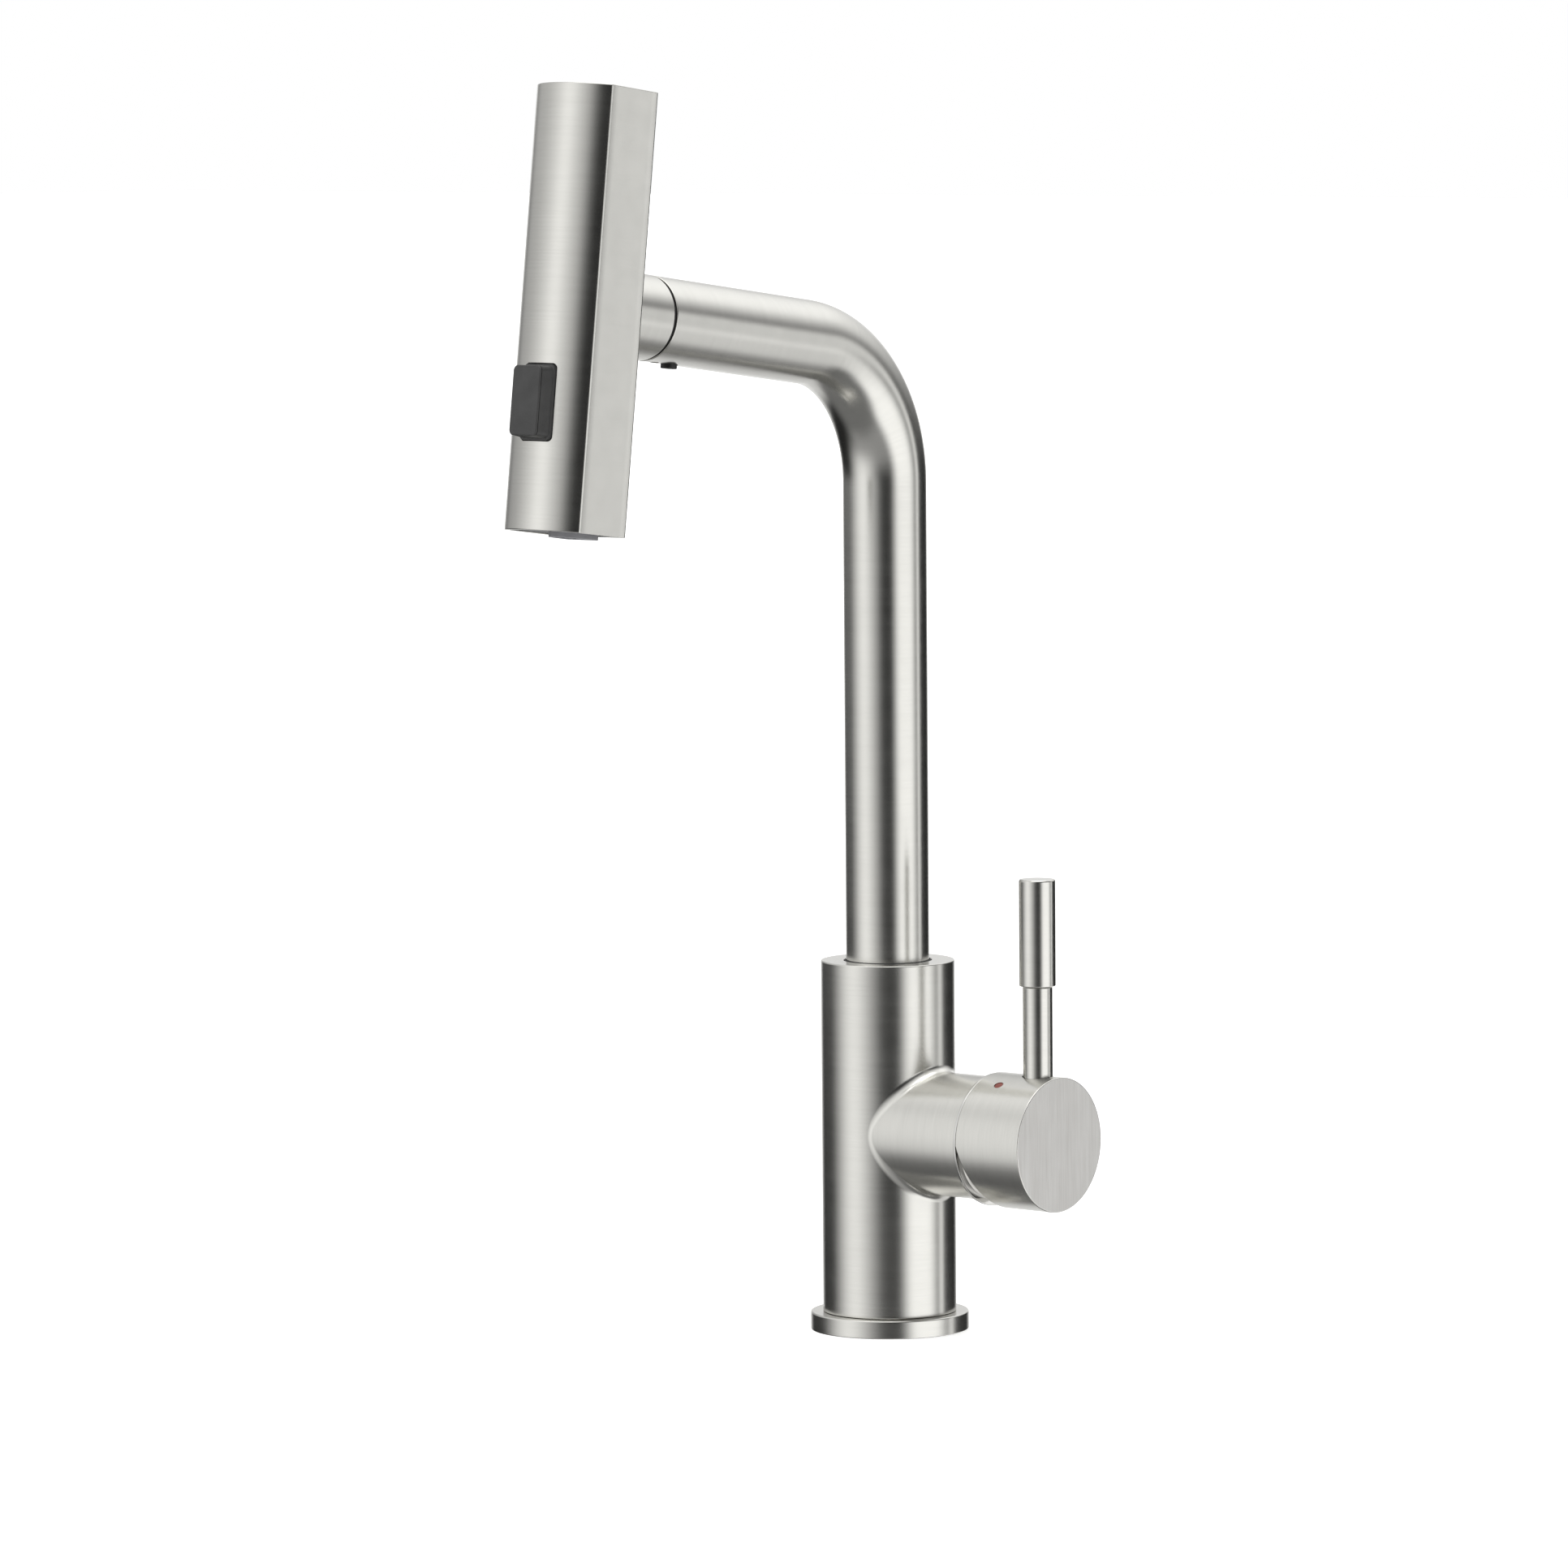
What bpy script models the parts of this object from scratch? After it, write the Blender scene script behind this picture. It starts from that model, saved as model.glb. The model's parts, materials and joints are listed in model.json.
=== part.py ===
"""Pull down kitchen faucet: straight body, side lever, swivelling spout and a pull down spray head.

World frame: the deck plane is Z = 0 and the body stands on the Z axis.  The spout points along -Y
and the handle branch along +X.  Named sizes are in millimetres; MM turns them into metres.
Pieces of the spout end and of the spray head are placed in a frame that lies on the centreline of
the sloping spout end: Y runs back along it, Z runs up across it, and "reach" is the distance out.
"""
import math

import bmesh
import bpy
from mathutils import Matrix, Vector

MM = 0.001
CLEAR = 0.3            # room left between two pieces that touch
FINE = 32              # sides of the large round pieces
MEDIUM = 16            # sides of the middle sized round pieces
SMALL = 12             # sides of the small round pieces

# Base and body
FLANGE_R = 29.65
FLANGE_TOP = 6.7
FLANGE_BORE_R = 19.0
GASKET_OUT_R = 26.2
GASKET_IN_R = 22.3
GASKET_THICK = 1.7
BODY_R = 25.0
BODY_WALL = 2.7
BODY_TOP = 138.9
BODY_LID = 4.0
LID_HOLE_R = 16.5
FOOT_BORE_R = 17.6
FOOT_TOP = 19.0

# Handle branch and valve, along +X at AXIS_Z
AXIS_Z = 75.3
BRANCH_R = 23.0
BRANCH_WALL = 2.7
BRANCH_END = 50.6
VALVE_BACK = 19.5
VALVE_FLOOR = 29.7
VALVE_MOUTH = 49.5
VALVE_WALL = 2.3
PORT_R = 2.5
PIPE_R = 3.5
PIPE_BORE_R = 2.6
PIPE_SOCKET = 2.3
PORTS = {"hot": (-8.6, -4.0), "cold": (8.6, -4.0), "mixed": (0.0, 7.0)}
PIPE_DROP_X = {"hot": 10.0, "cold": 10.0, "mixed": 13.0}
PIPE_BEND_R = 4.2
PIPE_END = 3.0
CARTRIDGE_R = 17.3
CARTRIDGE_WALL = 2.3
PORT_SEAL_THICK = 1.2
BASE_THICK = 4.5
FIXED_DISC_R = 13.5
FIXED_DISC_THICK = 3.5
MOVING_DISC_R = 11.0
MOVING_DISC_THICK = 3.0
DISC_TRAVEL = 3.7
BARREL_FLANGE_R = 14.6
BARREL_FLANGE_THICK = 2.4
BARREL_NECK_R = 10.0
BARREL_END = 58.5
NUT_THICK = 8.0
NUT_R = 17.2
SHOULDER_X = 47.8
NECK_SLEEVE_WALL = 2.6

# Stem and its pivot
PIVOT_X = 54.0
PIVOT_PIN_R = 1.5
STEM_WIDE = 6.0
STEM_HIGH = 8.0
STEM_END = 70.0
STEM_TIP_R = 2.5
LIFT_ANGLE = math.radians(18)

# Handle
BONNET_R = 24.7
BONNET_RIM = 1.0
BONNET_BALL_R = 22.2
BONNET_WALL = 1.4
BONNET_END = 59.0
CAP_R = 25.0
CAP_WALL = 2.3
CAP_START = 52.1
CAP_END = 81.3
CAP_FACE_THICK = 3.5
BOSS_R = 10.0
BOSS_START = 62.0
LEVER_X = 71.4
ROD_R = 5.5
ROD_FOOT_Z = 83.6
GRIP_R = 6.75
GRIP_BOTTOM = 133.65
GRIP_TOP = 173.2
GRIP_SPIGOT_R = 3.5
GRIP_SPIGOT_LONG = 14.0
SET_SCREW_R = 2.5
SET_SCREW_LONG = 5.2
DOT_R = 1.65
DOT_X = 62.2
DOT_ANGLE = math.radians(28)
DOT_DEEP = 0.6

# Spout tube and its swivel
SPOUT_R = 15.55
SPOUT_WALL = 1.5
SPOUT_BOTTOM = 109.5
SPOUT_BEND_R = 53.7
SPOUT_TILT = math.radians(7.25)
SPOUT_AXIS_Z = 365.2   # height where the centreline of the spout end meets the column axis
SPOUT_END = 136.0
SWIVEL_BOTTOM = 103.0
SWIVEL_FLOOR = 3.0
SWIVEL_TOP = 130.5
SWIVEL_BORE_R = 16.3
ORING_WIRE_R = 1.0
ORING_HEIGHTS = (114.0, 124.0)
BUSHING_LIP_TOP = 137.6
SPOUT_FOOT_R = 13.7
SPOUT_FOOT_BORE_R = 9.0
SPOUT_FOOT_BOTTOM = 97.5
SPOUT_FOOT_TOP = 120.0
CLIP_OUT_R = 16.6
CLIP_THICK = 1.6
CLIP_GROOVE = 1.6

# Dock in the spout end
DOCK_BACK = 112.0
DOCK_SOCKET_R = 10.3
DOCK_HOSE_R = 7.4
DOCK_SOCKET_START = 118.0
PLUG_AT = 121.0
PLUG_R = 3.0
PLUG_PROUD = 1.5
GRUB_AT = 130.5
GRUB_R = 2.3
DOCK_SEAL_THICK = 0.8

# Neck and hose end
NECK_START = 137.4
NECK_BORE_R = 7.2
NECK_ROOM_R = 12.6
NECK_ROOM_START = 139.5
SPIGOT_START = 118.6
HOSE_R = 5.5
HOSE_BOTTOM = 24.0
HOSE_END = 135.0
HOSE_SPACING = 25.0
FERRULE_R = 6.8
FERRULE_START = 122.0
FERRULE_FLANGE_R = 9.0
FERRULE_FLANGE_AT = 142.0
FERRULE_END = 143.5
WASHER_THICK = 0.9
SWIVEL_NUT_R = 12.0
SWIVEL_NUT_END = 152.0
INLET_START = 145.0
INLET_R = 9.1
INLET_BORE_R = 5.8
CHECK_VALVE_R = 5.4
CHECK_VALVE_LONG = 9.0
COUPLING_R = 8.6
COUPLING_BOTTOM = 4.0
COUPLING_TOP = 30.0

# Spray head, a D section with a flat back
HEAD_BACK = 157.95
HEAD_HALF_WIDE = 17.95
HEAD_SIDE_END = 182.85
HEAD_ARC_R = 24.75
HEAD_TOP = 78.5
HEAD_BOTTOM = -80.6
HEAD_WALL = 1.5
HEAD_ROOF = 2.0
BUTTON_MID = -35.2
BUTTON_BASE_WIDE = 14.2
BUTTON_BASE_HIGH = 27.2
BUTTON_FACE_WIDE = 13.0
BUTTON_FACE_HIGH = 25.0
BUTTON_FACE_AT = 197.4
BUTTON_SHOULDER_AT = 190.6
BUTTON_BACK_AT = 185.3
BUTTON_ROUND = 1.6
BUTTON_GAP = 0.35
BUTTON_TRAVEL = 2.0
BUTTON_FLANGE_THICK = 1.3
BUTTON_FLANGE_EXTRA = 0.9
PLUNGER_R = 1.6
GUIDE_AT = 182.6
SPRING_WIDE_R = 6.0
SPRING_NARROW_R = 2.9
SPRING_WIRE_R = 0.3
SPRING_TURNS = 3
CORE_AT = 169.6
CORE_R = 9.6
CORE_TOP = 14.0
CORE_BOTTOM = -72.0
CORE_BORE_R = 7.6
SPOOL_R = 7.2
SPOOL_TOP = -22.0
SPOOL_BOTTOM = -52.0
SPOOL_TRAVEL = 2.0
FACE_THICK = 3.4
FACE_RECESS = 0.5
NOZZLE_HALF_WIDE = 7.6
NOZZLE_BACK = 160.6
NOZZLE_MID = 167.8
NOZZLE_PROUD = 1.4
NOZZLE_LONG = 5.4
NOZZLE_WALL = 1.1
AERATOR_R = 3.4
NUB_R = 0.55
NUB_LONG = 0.9

STEEL = ("brushed stainless steel", (0.62, 0.61, 0.58), 0.32, 1.0)
STEEL_DARK = ("spring steel", (0.42, 0.42, 0.42), 0.38, 1.0)
BRASS = ("machined brass", (0.72, 0.52, 0.25), 0.35, 1.0)
CERAMIC = ("alumina ceramic", (0.86, 0.85, 0.80), 0.18, 0.0)
CHARCOAL = ("charcoal moulded plastic", (0.065, 0.065, 0.067), 0.55, 0.0)
BLACK_PLASTIC = ("black moulded plastic", (0.03, 0.03, 0.03), 0.5, 0.0)
GREY_PLASTIC = ("grey acetal", (0.33, 0.33, 0.33), 0.5, 0.0)
WHITE_PLASTIC = ("white acetal", (0.82, 0.82, 0.80), 0.45, 0.0)
RUBBER = ("black rubber", (0.02, 0.02, 0.02), 0.8, 0.0)
GREY_RUBBER = ("grey silicone rubber", (0.27, 0.28, 0.29), 0.7, 0.0)
RED_ENAMEL = ("dull red enamel", (0.30, 0.07, 0.055), 0.45, 0.0)
HOSE_BRAID = ("grey braided nylon", (0.30, 0.30, 0.31), 0.65, 0.0)

ALONG_X = (0.0, math.radians(90), 0.0)
ALONG_REACH = (math.radians(90), 0.0, 0.0)
DOWNWARD = (math.radians(180), 0.0, 0.0)


def clear_scene():
    """Removes every object left in the scene and makes the two collections."""
    for obj in list(bpy.data.objects):
        bpy.data.objects.remove(obj)
    groups = {}
    for name in ("pull_down_faucet", "cutters"):
        groups[name] = bpy.data.collections.new(name)
        bpy.context.scene.collection.children.link(groups[name])
    return groups


GROUPS = clear_scene()
MATERIALS = {}


def material(spec):
    """The Principled material of one (name, colour, roughness, metallic) row."""
    name, colour, roughness, metallic = spec
    if name not in MATERIALS:
        mat = bpy.data.materials.new(name)
        mat.use_nodes = True
        shader = mat.node_tree.nodes["Principled BSDF"]
        shader.inputs["Base Color"].default_value = (*colour, 1.0)
        shader.inputs["Roughness"].default_value = roughness
        shader.inputs["Metallic"].default_value = metallic
        mat.diffuse_color = (*colour, 1.0)
        MATERIALS[name] = mat
    return MATERIALS[name]


def place(name, data, spec=None, at=(0, 0, 0), turn=(0, 0, 0), frame=None):
    """Puts mesh or curve data in the scene; without a material row it becomes a cutter."""
    obj = bpy.data.objects.new(name, data)
    if spec:
        data.materials.append(material(spec))
        GROUPS["pull_down_faucet"].objects.link(obj)
    else:
        GROUPS["cutters"].objects.link(obj)
        obj.hide_render = True
        obj.display_type = "WIRE"
    obj.location = Vector(at) * MM
    obj.rotation_euler = turn
    obj.parent = frame
    return obj


def empty(name, at, turn=(0, 0, 0)):
    """An empty that carries a group of pieces."""
    obj = bpy.data.objects.new(name, None)
    GROUPS["pull_down_faucet"].objects.link(obj)
    obj.location = Vector(at) * MM
    obj.rotation_euler = turn
    obj.empty_display_size = 0.01
    return obj


def turned(name, profile, spec=None, sides=MEDIUM, ring=False, **where):
    """Turns a (radius, height) profile about Z; it runs down the outer side, top to bottom."""
    mesh = bpy.data.meshes.new(name)
    points = [(radius * MM, 0.0, height * MM) for radius, height in profile]
    edges = [(i, i + 1) for i in range(len(points) - 1)]
    if ring:
        edges.append((len(points) - 1, 0))
    mesh.from_pydata(points, edges, [])
    obj = place(name, mesh, spec, **where)
    screw = obj.modifiers.new("turn", "SCREW")
    screw.steps = sides
    screw.render_steps = sides
    screw.use_merge_vertices = True
    screw.merge_threshold = 0.00005
    return obj


def rod(name, radius, low, high, spec=None, sides=SMALL, chamfer=0.0, **where):
    """A plain round bar from height low to height high."""
    profile = [(0, high), (radius - chamfer, high)]
    if chamfer:
        profile += [(radius, high - chamfer), (radius, low + chamfer)]
    else:
        profile += [(radius, high)]
        profile.pop(1)
    profile += [(radius - chamfer, low), (0, low)]
    return turned(name, profile, spec, sides, **where)


def sleeve(name, outer, inner, low, high, spec=None, sides=MEDIUM, chamfer=0.0, **where):
    """A plain round tube from height low to height high."""
    if chamfer:
        profile = [(inner, high), (outer - chamfer, high), (outer, high - chamfer),
                   (outer, low + chamfer), (outer - chamfer, low), (inner, low)]
    else:
        profile = [(inner, high), (outer, high), (outer, low), (inner, low)]
    return turned(name, profile, spec, sides, ring=True, **where)


def block(name, low, high, spec=None, **where):
    """A box between two opposite corners."""
    mesh = bpy.data.meshes.new(name)
    shape = bmesh.new()
    bmesh.ops.create_cube(shape, size=1.0)
    low, high = Vector(low) * MM, Vector(high) * MM
    size = high - low
    bmesh.ops.transform(shape, verts=shape.verts,
                        matrix=Matrix.Translation((low + high) / 2) @ Matrix.Diagonal((*size, 1)))
    shape.to_mesh(mesh)
    shape.free()
    return place(name, mesh, spec, **where)


def curve_mesh(curve, name):
    """Turns curve data into a closed mesh with its caps welded on."""
    temp = bpy.data.objects.new(name + " path", curve)
    bpy.context.scene.collection.objects.link(temp)
    bpy.context.view_layer.update()
    mesh = bpy.data.meshes.new_from_object(temp.evaluated_get(bpy.context.evaluated_depsgraph_get()))
    bpy.data.objects.remove(temp)
    shape = bmesh.new()
    shape.from_mesh(mesh)
    bmesh.ops.remove_doubles(shape, verts=shape.verts, dist=0.00002)
    bmesh.ops.recalc_face_normals(shape, faces=shape.faces)
    shape.to_mesh(mesh)
    shape.free()
    mesh.name = name
    mesh.materials.clear()
    mesh.shade_smooth()
    mesh.set_sharp_from_angle(angle=math.radians(30))
    return mesh


def poly_curve(name, points, radius, rounding, cyclic=False):
    """Curve data: a round wire of the given radius along the points."""
    curve = bpy.data.curves.new(name, "CURVE")
    curve.dimensions = "3D"
    curve.bevel_depth = radius * MM
    curve.bevel_resolution = rounding
    curve.use_fill_caps = True
    line = curve.splines.new("POLY")
    line.points.add(len(points) - 1)
    for point, co in zip(line.points, points):
        point.co = (*(Vector(co) * MM), 1.0)
    line.use_cyclic_u = cyclic
    return curve


def wire(name, points, radius, spec=None, rounding=2, cyclic=False, **where):
    """A round wire or bar that follows the points."""
    mesh = curve_mesh(poly_curve(name, points, radius, rounding, cyclic), name)
    return place(name, mesh, spec, **where)


def extruded(name, outline, low, high, spec=None, **where):
    """A flat (x, y) outline given a height, from low to high along Z."""
    curve = bpy.data.curves.new(name, "CURVE")
    curve.dimensions = "2D"
    curve.fill_mode = "BOTH"
    curve.extrude = (high - low) / 2 * MM
    line = curve.splines.new("POLY")
    line.points.add(len(outline) - 1)
    for point, (x, y) in zip(line.points, outline):
        point.co = (x * MM, y * MM, 0.0, 1.0)
    line.use_cyclic_u = True
    mesh = curve_mesh(curve, name)
    mesh.transform(Matrix.Translation((0, 0, (low + high) / 2 * MM)))
    return place(name, mesh, spec, **where)


def combine(target, tool, kind="DIFFERENCE"):
    """Cuts the tool from the target, or joins it on."""
    mod = target.modifiers.new(kind.lower() + " " + tool.name, "BOOLEAN")
    mod.operation = kind
    mod.solver = "EXACT"
    mod.object = tool
    return target


def bevel(obj, width, segments=2, angle=35):
    """Rounds the edges of a piece."""
    mod = obj.modifiers.new("rounded edges", "BEVEL")
    mod.width = width * MM
    mod.segments = segments
    mod.limit_method = "ANGLE"
    mod.angle_limit = math.radians(angle)
    return obj


def arc(centre, radius, start, end, steps):
    """Points (x, y) on an arc between two angles in degrees."""
    angles = [math.radians(start + (end - start) * i / steps) for i in range(steps + 1)]
    return [(centre[0] + radius * math.cos(a), centre[1] + radius * math.sin(a)) for a in angles]


def spout_line(low, reach, spacing=400.0, steps=10):
    """Centreline from height low up the column, round the bend and out to the given reach."""
    turn = math.pi / 2 - SPOUT_TILT
    tangent = SPOUT_BEND_R * math.tan(turn / 2)
    bend_z = SPOUT_AXIS_Z - tangent
    up = math.ceil((bend_z - low) / spacing)
    out = math.ceil((reach - tangent) / spacing)
    points = [(0.0, 0.0, low + (bend_z - low) * i / up) for i in range(up)]
    for i in range(steps + 1):
        a = turn * i / steps
        points.append((0.0, SPOUT_BEND_R * (math.cos(a) - 1), bend_z + SPOUT_BEND_R * math.sin(a)))
    for i in range(1, out + 1):
        s = tangent + (reach - tangent) * i / out
        points.append((0.0, -s * math.cos(SPOUT_TILT), SPOUT_AXIS_Z + s * math.sin(SPOUT_TILT)))
    return points


def make_base():
    """Deck flange, its gasket and the threaded foot that the mounting shank screws into."""
    groove = GASKET_THICK + CLEAR
    turned("base_flange",
           [(FLANGE_BORE_R, FLANGE_TOP), (FLANGE_R - 0.6, FLANGE_TOP), (FLANGE_R, FLANGE_TOP - 0.6),
            (FLANGE_R, 0.3), (FLANGE_R - 0.3, 0), (GASKET_OUT_R + CLEAR, 0),
            (GASKET_OUT_R + CLEAR, groove), (GASKET_IN_R - CLEAR, groove),
            (GASKET_IN_R - CLEAR, 0), (FLANGE_BORE_R, 0)], STEEL, FINE, ring=True)
    sleeve("base_gasket", GASKET_OUT_R, GASKET_IN_R, 0, GASKET_THICK, RUBBER, FINE)
    inner = BODY_R - BODY_WALL - CLEAR
    turned("body_foot",
           [(FOOT_BORE_R, FOOT_TOP), (inner, FOOT_TOP), (inner, FLANGE_TOP + CLEAR),
            (FLANGE_BORE_R - CLEAR, FLANGE_TOP + CLEAR), (FLANGE_BORE_R - CLEAR, 1.0),
            (FOOT_BORE_R, 1.0)], BRASS, MEDIUM, ring=True)


def make_body():
    """The steel body: a tube with a lid, and the branch that carries the valve."""
    low = FLANGE_TOP + CLEAR
    body = turned("body_shell",
                  [(0, BODY_TOP), (BODY_R - 0.4, BODY_TOP), (BODY_R, BODY_TOP - 0.4),
                   (BODY_R, low), (0, low)], STEEL, FINE)
    at = (0, 0, AXIS_Z)
    combine(body, rod("branch outside", BRANCH_R, 0, BRANCH_END, sides=FINE, at=at, turn=ALONG_X),
            "UNION")
    combine(body, rod("body bore", BODY_R - BODY_WALL, low - 1, BODY_TOP - BODY_LID, sides=FINE))
    combine(body, rod("lid hole", LID_HOLE_R, BODY_TOP - BODY_LID - 1, BODY_TOP + 1, sides=FINE))
    combine(body, rod("branch bore", BRANCH_R - BRANCH_WALL, VALVE_BACK - 2, BRANCH_END + 1,
                      sides=FINE, at=at, turn=ALONG_X))


def port_cutters(label, radius, low, high):
    """One straight hole for each port, along X."""
    return [rod(f"{label} {port}", radius, low, high, sides=10, at=(0, y, AXIS_Z + z), turn=ALONG_X)
            for port, (y, z) in PORTS.items()]


def make_valve():
    """Valve chamber with its three pipes, and the fixed pieces of the ceramic cartridge."""
    at = (0, 0, AXIS_Z)
    outer = BRANCH_R - BRANCH_WALL - CLEAR
    inner = outer - VALVE_WALL
    chamber = turned("valve_chamber",
                     [(0, VALVE_FLOOR), (inner, VALVE_FLOOR), (inner, VALVE_MOUTH),
                      (outer, VALVE_MOUTH), (outer, VALVE_BACK), (0, VALVE_BACK)],
                     BRASS, FINE, at=at, turn=ALONG_X)
    for tool in port_cutters("pipe socket", PIPE_R + CLEAR, VALVE_BACK - 1, VALVE_BACK + PIPE_SOCKET):
        combine(chamber, tool)
    for tool in port_cutters("chamber port", PORT_R, VALVE_BACK, VALVE_FLOOR + 1):
        combine(chamber, tool)
    for port, (y, z) in PORTS.items():
        make_pipe(port + "_water_pipe", y, AXIS_Z + z, PIPE_DROP_X[port])

    seal_front = VALVE_FLOOR + CLEAR + PORT_SEAL_THICK
    seal = rod("port_seal", CARTRIDGE_R - 1.7, VALVE_FLOOR + CLEAR, seal_front, RUBBER, MEDIUM,
               at=at, turn=ALONG_X)
    base_top = seal_front + CLEAR + BASE_THICK
    base = turned("cartridge_base",
                  [(0, base_top), (CARTRIDGE_R, base_top), (CARTRIDGE_R, VALVE_FLOOR + CLEAR),
                   (CARTRIDGE_R - 1.4, VALVE_FLOOR + CLEAR), (CARTRIDGE_R - 1.4, seal_front + CLEAR),
                   (0, seal_front + CLEAR)], GREY_PLASTIC, MEDIUM, at=at, turn=ALONG_X)
    fixed_low = base_top + CLEAR
    fixed_top = fixed_low + FIXED_DISC_THICK
    fixed = rod("fixed_ceramic_disc", FIXED_DISC_R, fixed_low, fixed_top, CERAMIC, MEDIUM,
                at=at, turn=ALONG_X)
    for piece, low, high in ((seal, VALVE_FLOOR, seal_front + 1), (base, seal_front, base_top + 1),
                             (fixed, fixed_low - 1, fixed_top + 1)):
        for tool in port_cutters(piece.name + " port", PORT_R, low, high):
            combine(piece, tool)

    room = CARTRIDGE_R - CARTRIDGE_WALL
    sleeve_in = BARREL_NECK_R + 0.4
    sleeve_out = sleeve_in + NECK_SLEEVE_WALL
    roof = SHOULDER_X - CARTRIDGE_WALL + 0.6
    turned("cartridge_housing",
           [(sleeve_in, BARREL_END - 5), (sleeve_out, BARREL_END - 5), (sleeve_out, SHOULDER_X),
            (CARTRIDGE_R, SHOULDER_X), (CARTRIDGE_R, fixed_low), (room, fixed_low), (room, roof),
            (sleeve_in, roof)], GREY_PLASTIC, MEDIUM, ring=True, at=at, turn=ALONG_X)
    nut = turned("cartridge_nut",
                 [(sleeve_out + CLEAR, SHOULDER_X + NUT_THICK), (NUT_R - 1, SHOULDER_X + NUT_THICK),
                  (NUT_R, SHOULDER_X + NUT_THICK - 1), (NUT_R, SHOULDER_X + CLEAR),
                  (sleeve_out + CLEAR, SHOULDER_X + CLEAR)], BRASS, MEDIUM, ring=True,
                 at=at, turn=ALONG_X)
    for i in range(3):
        slot = block(f"spanner slot {i}", (-NUT_R - 1, -1.6, SHOULDER_X + NUT_THICK - 2.4),
                     (NUT_R + 1, 1.6, SHOULDER_X + NUT_THICK + 1), at=at,
                     turn=(math.radians(60 * i), math.radians(90), 0))
        combine(nut, slot)
    return fixed_top, roof


def make_pipe(name, y, z, drop_x):
    """One brass pipe from the valve chamber back into the body and down to the deck hole."""
    start = VALVE_BACK + PIPE_SOCKET - CLEAR
    bend = [(drop_x + PIPE_BEND_R + cx, y, z - PIPE_BEND_R + cz) for cx, cz in
            arc((0, 0), PIPE_BEND_R, 90, 180, 4)]
    line = [(start, y, z)] + bend + [(drop_x, y, PIPE_END)]
    pipe = wire(name, line, PIPE_R, BRASS, rounding=4)
    bore_line = [(start + 1, y, z)] + bend + [(drop_x, y, PIPE_END - 1)]
    combine(pipe, wire(name + " bore", bore_line, PIPE_BORE_R, rounding=4))


def make_cartridge_works(fixed_top, roof):
    """The turning barrel, the stem on its pivot pin and the ceramic disc it drives."""
    turning = empty("handle_turn_axis", (PIVOT_X, 0, AXIS_Z))
    barrel_top = roof - CLEAR
    barrel = turned("cartridge_barrel",
                    [(0, BARREL_END - PIVOT_X), (BARREL_NECK_R, BARREL_END - PIVOT_X),
                     (BARREL_NECK_R, barrel_top - PIVOT_X),
                     (BARREL_FLANGE_R, barrel_top - PIVOT_X),
                     (BARREL_FLANGE_R, barrel_top - BARREL_FLANGE_THICK - PIVOT_X),
                     (0, barrel_top - BARREL_FLANGE_THICK - PIVOT_X)],
                    WHITE_PLASTIC, MEDIUM, turn=ALONG_X, frame=turning)
    half = STEM_WIDE / 2 + CLEAR
    swing = STEM_HIGH / 2 + 4.4
    combine(barrel, block("stem slot", (-20, -half, -swing), (20, half, swing), frame=turning))
    pin_half = BARREL_NECK_R - 0.8
    combine(barrel, rod("pin hole", PIVOT_PIN_R + CLEAR, -20, 20, sides=12, frame=turning,
                        turn=ALONG_REACH))
    rod("stem_pivot_pin", PIVOT_PIN_R, -pin_half, pin_half, STEEL_DARK, 12, frame=turning,
        turn=ALONG_REACH)

    disc_low = fixed_top + CLEAR
    disc_top = disc_low + MOVING_DISC_THICK
    lifting = empty("handle_lift_axis", (PIVOT_X, 0, AXIS_Z))
    stem = block("cartridge_stem", (-5, -STEM_WIDE / 2, -STEM_HIGH / 2),
                 (STEM_END - PIVOT_X, STEM_WIDE / 2, STEM_HIGH / 2), STEEL_DARK, frame=lifting)
    leg = rod("stem leg", STEM_TIP_R, disc_top - 1.5 - PIVOT_X, -4, sides=16, frame=lifting,
              turn=ALONG_X)
    combine(stem, leg, "UNION")
    combine(stem, rod("stem eye", PIVOT_PIN_R + CLEAR, -20, 20, sides=12, frame=lifting,
                      turn=ALONG_REACH))

    offset = -DISC_TRAVEL / 2
    disc = rod("moving_ceramic_disc", MOVING_DISC_R, disc_low, disc_top, CERAMIC, MEDIUM,
               at=(0, 0, AXIS_Z + offset), turn=ALONG_X)
    combine(disc, rod("drive pocket", STEM_TIP_R + 0.5, disc_top - 1.9, disc_top + 1, sides=16,
                      at=(0, 0, AXIS_Z), turn=ALONG_X))
    combine(disc, rod("mixing chamber", 6.0, disc_low - 1, disc_low + 0.9, sides=20,
                      at=(0, 0, AXIS_Z + offset - 0.5), turn=ALONG_X))
    return lifting


def make_bonnet():
    """Bright ring with a ball shaped sleeve that the handle rocks over."""
    rim_low = BRANCH_END + CLEAR
    rim_top = rim_low + BONNET_RIM
    inner = BONNET_BALL_R - BONNET_WALL
    angles = [math.acos((BONNET_END - PIVOT_X) / BONNET_BALL_R)]
    last = math.acos((rim_top - PIVOT_X) / BONNET_BALL_R)
    steps = 3
    ball = [(BONNET_BALL_R * math.sin(a), PIVOT_X + BONNET_BALL_R * math.cos(a)) for a in
            (angles[0] + (last - angles[0]) * i / steps for i in range(steps + 1))]
    spigot = BRANCH_R - BRANCH_WALL - CLEAR
    profile = [(ball[0][0] - BONNET_WALL, BONNET_END)] + ball + [
        (BONNET_R, rim_top), (BONNET_R, rim_low), (spigot, rim_low), (spigot, rim_low - 0.8),
        (spigot - BONNET_WALL, rim_low - 0.8), (spigot - BONNET_WALL, rim_low), (inner - 0.6, PIVOT_X)]
    turned("bonnet_ring", profile, STEEL, FINE, ring=True, at=(0, 0, AXIS_Z), turn=ALONG_X)


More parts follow.
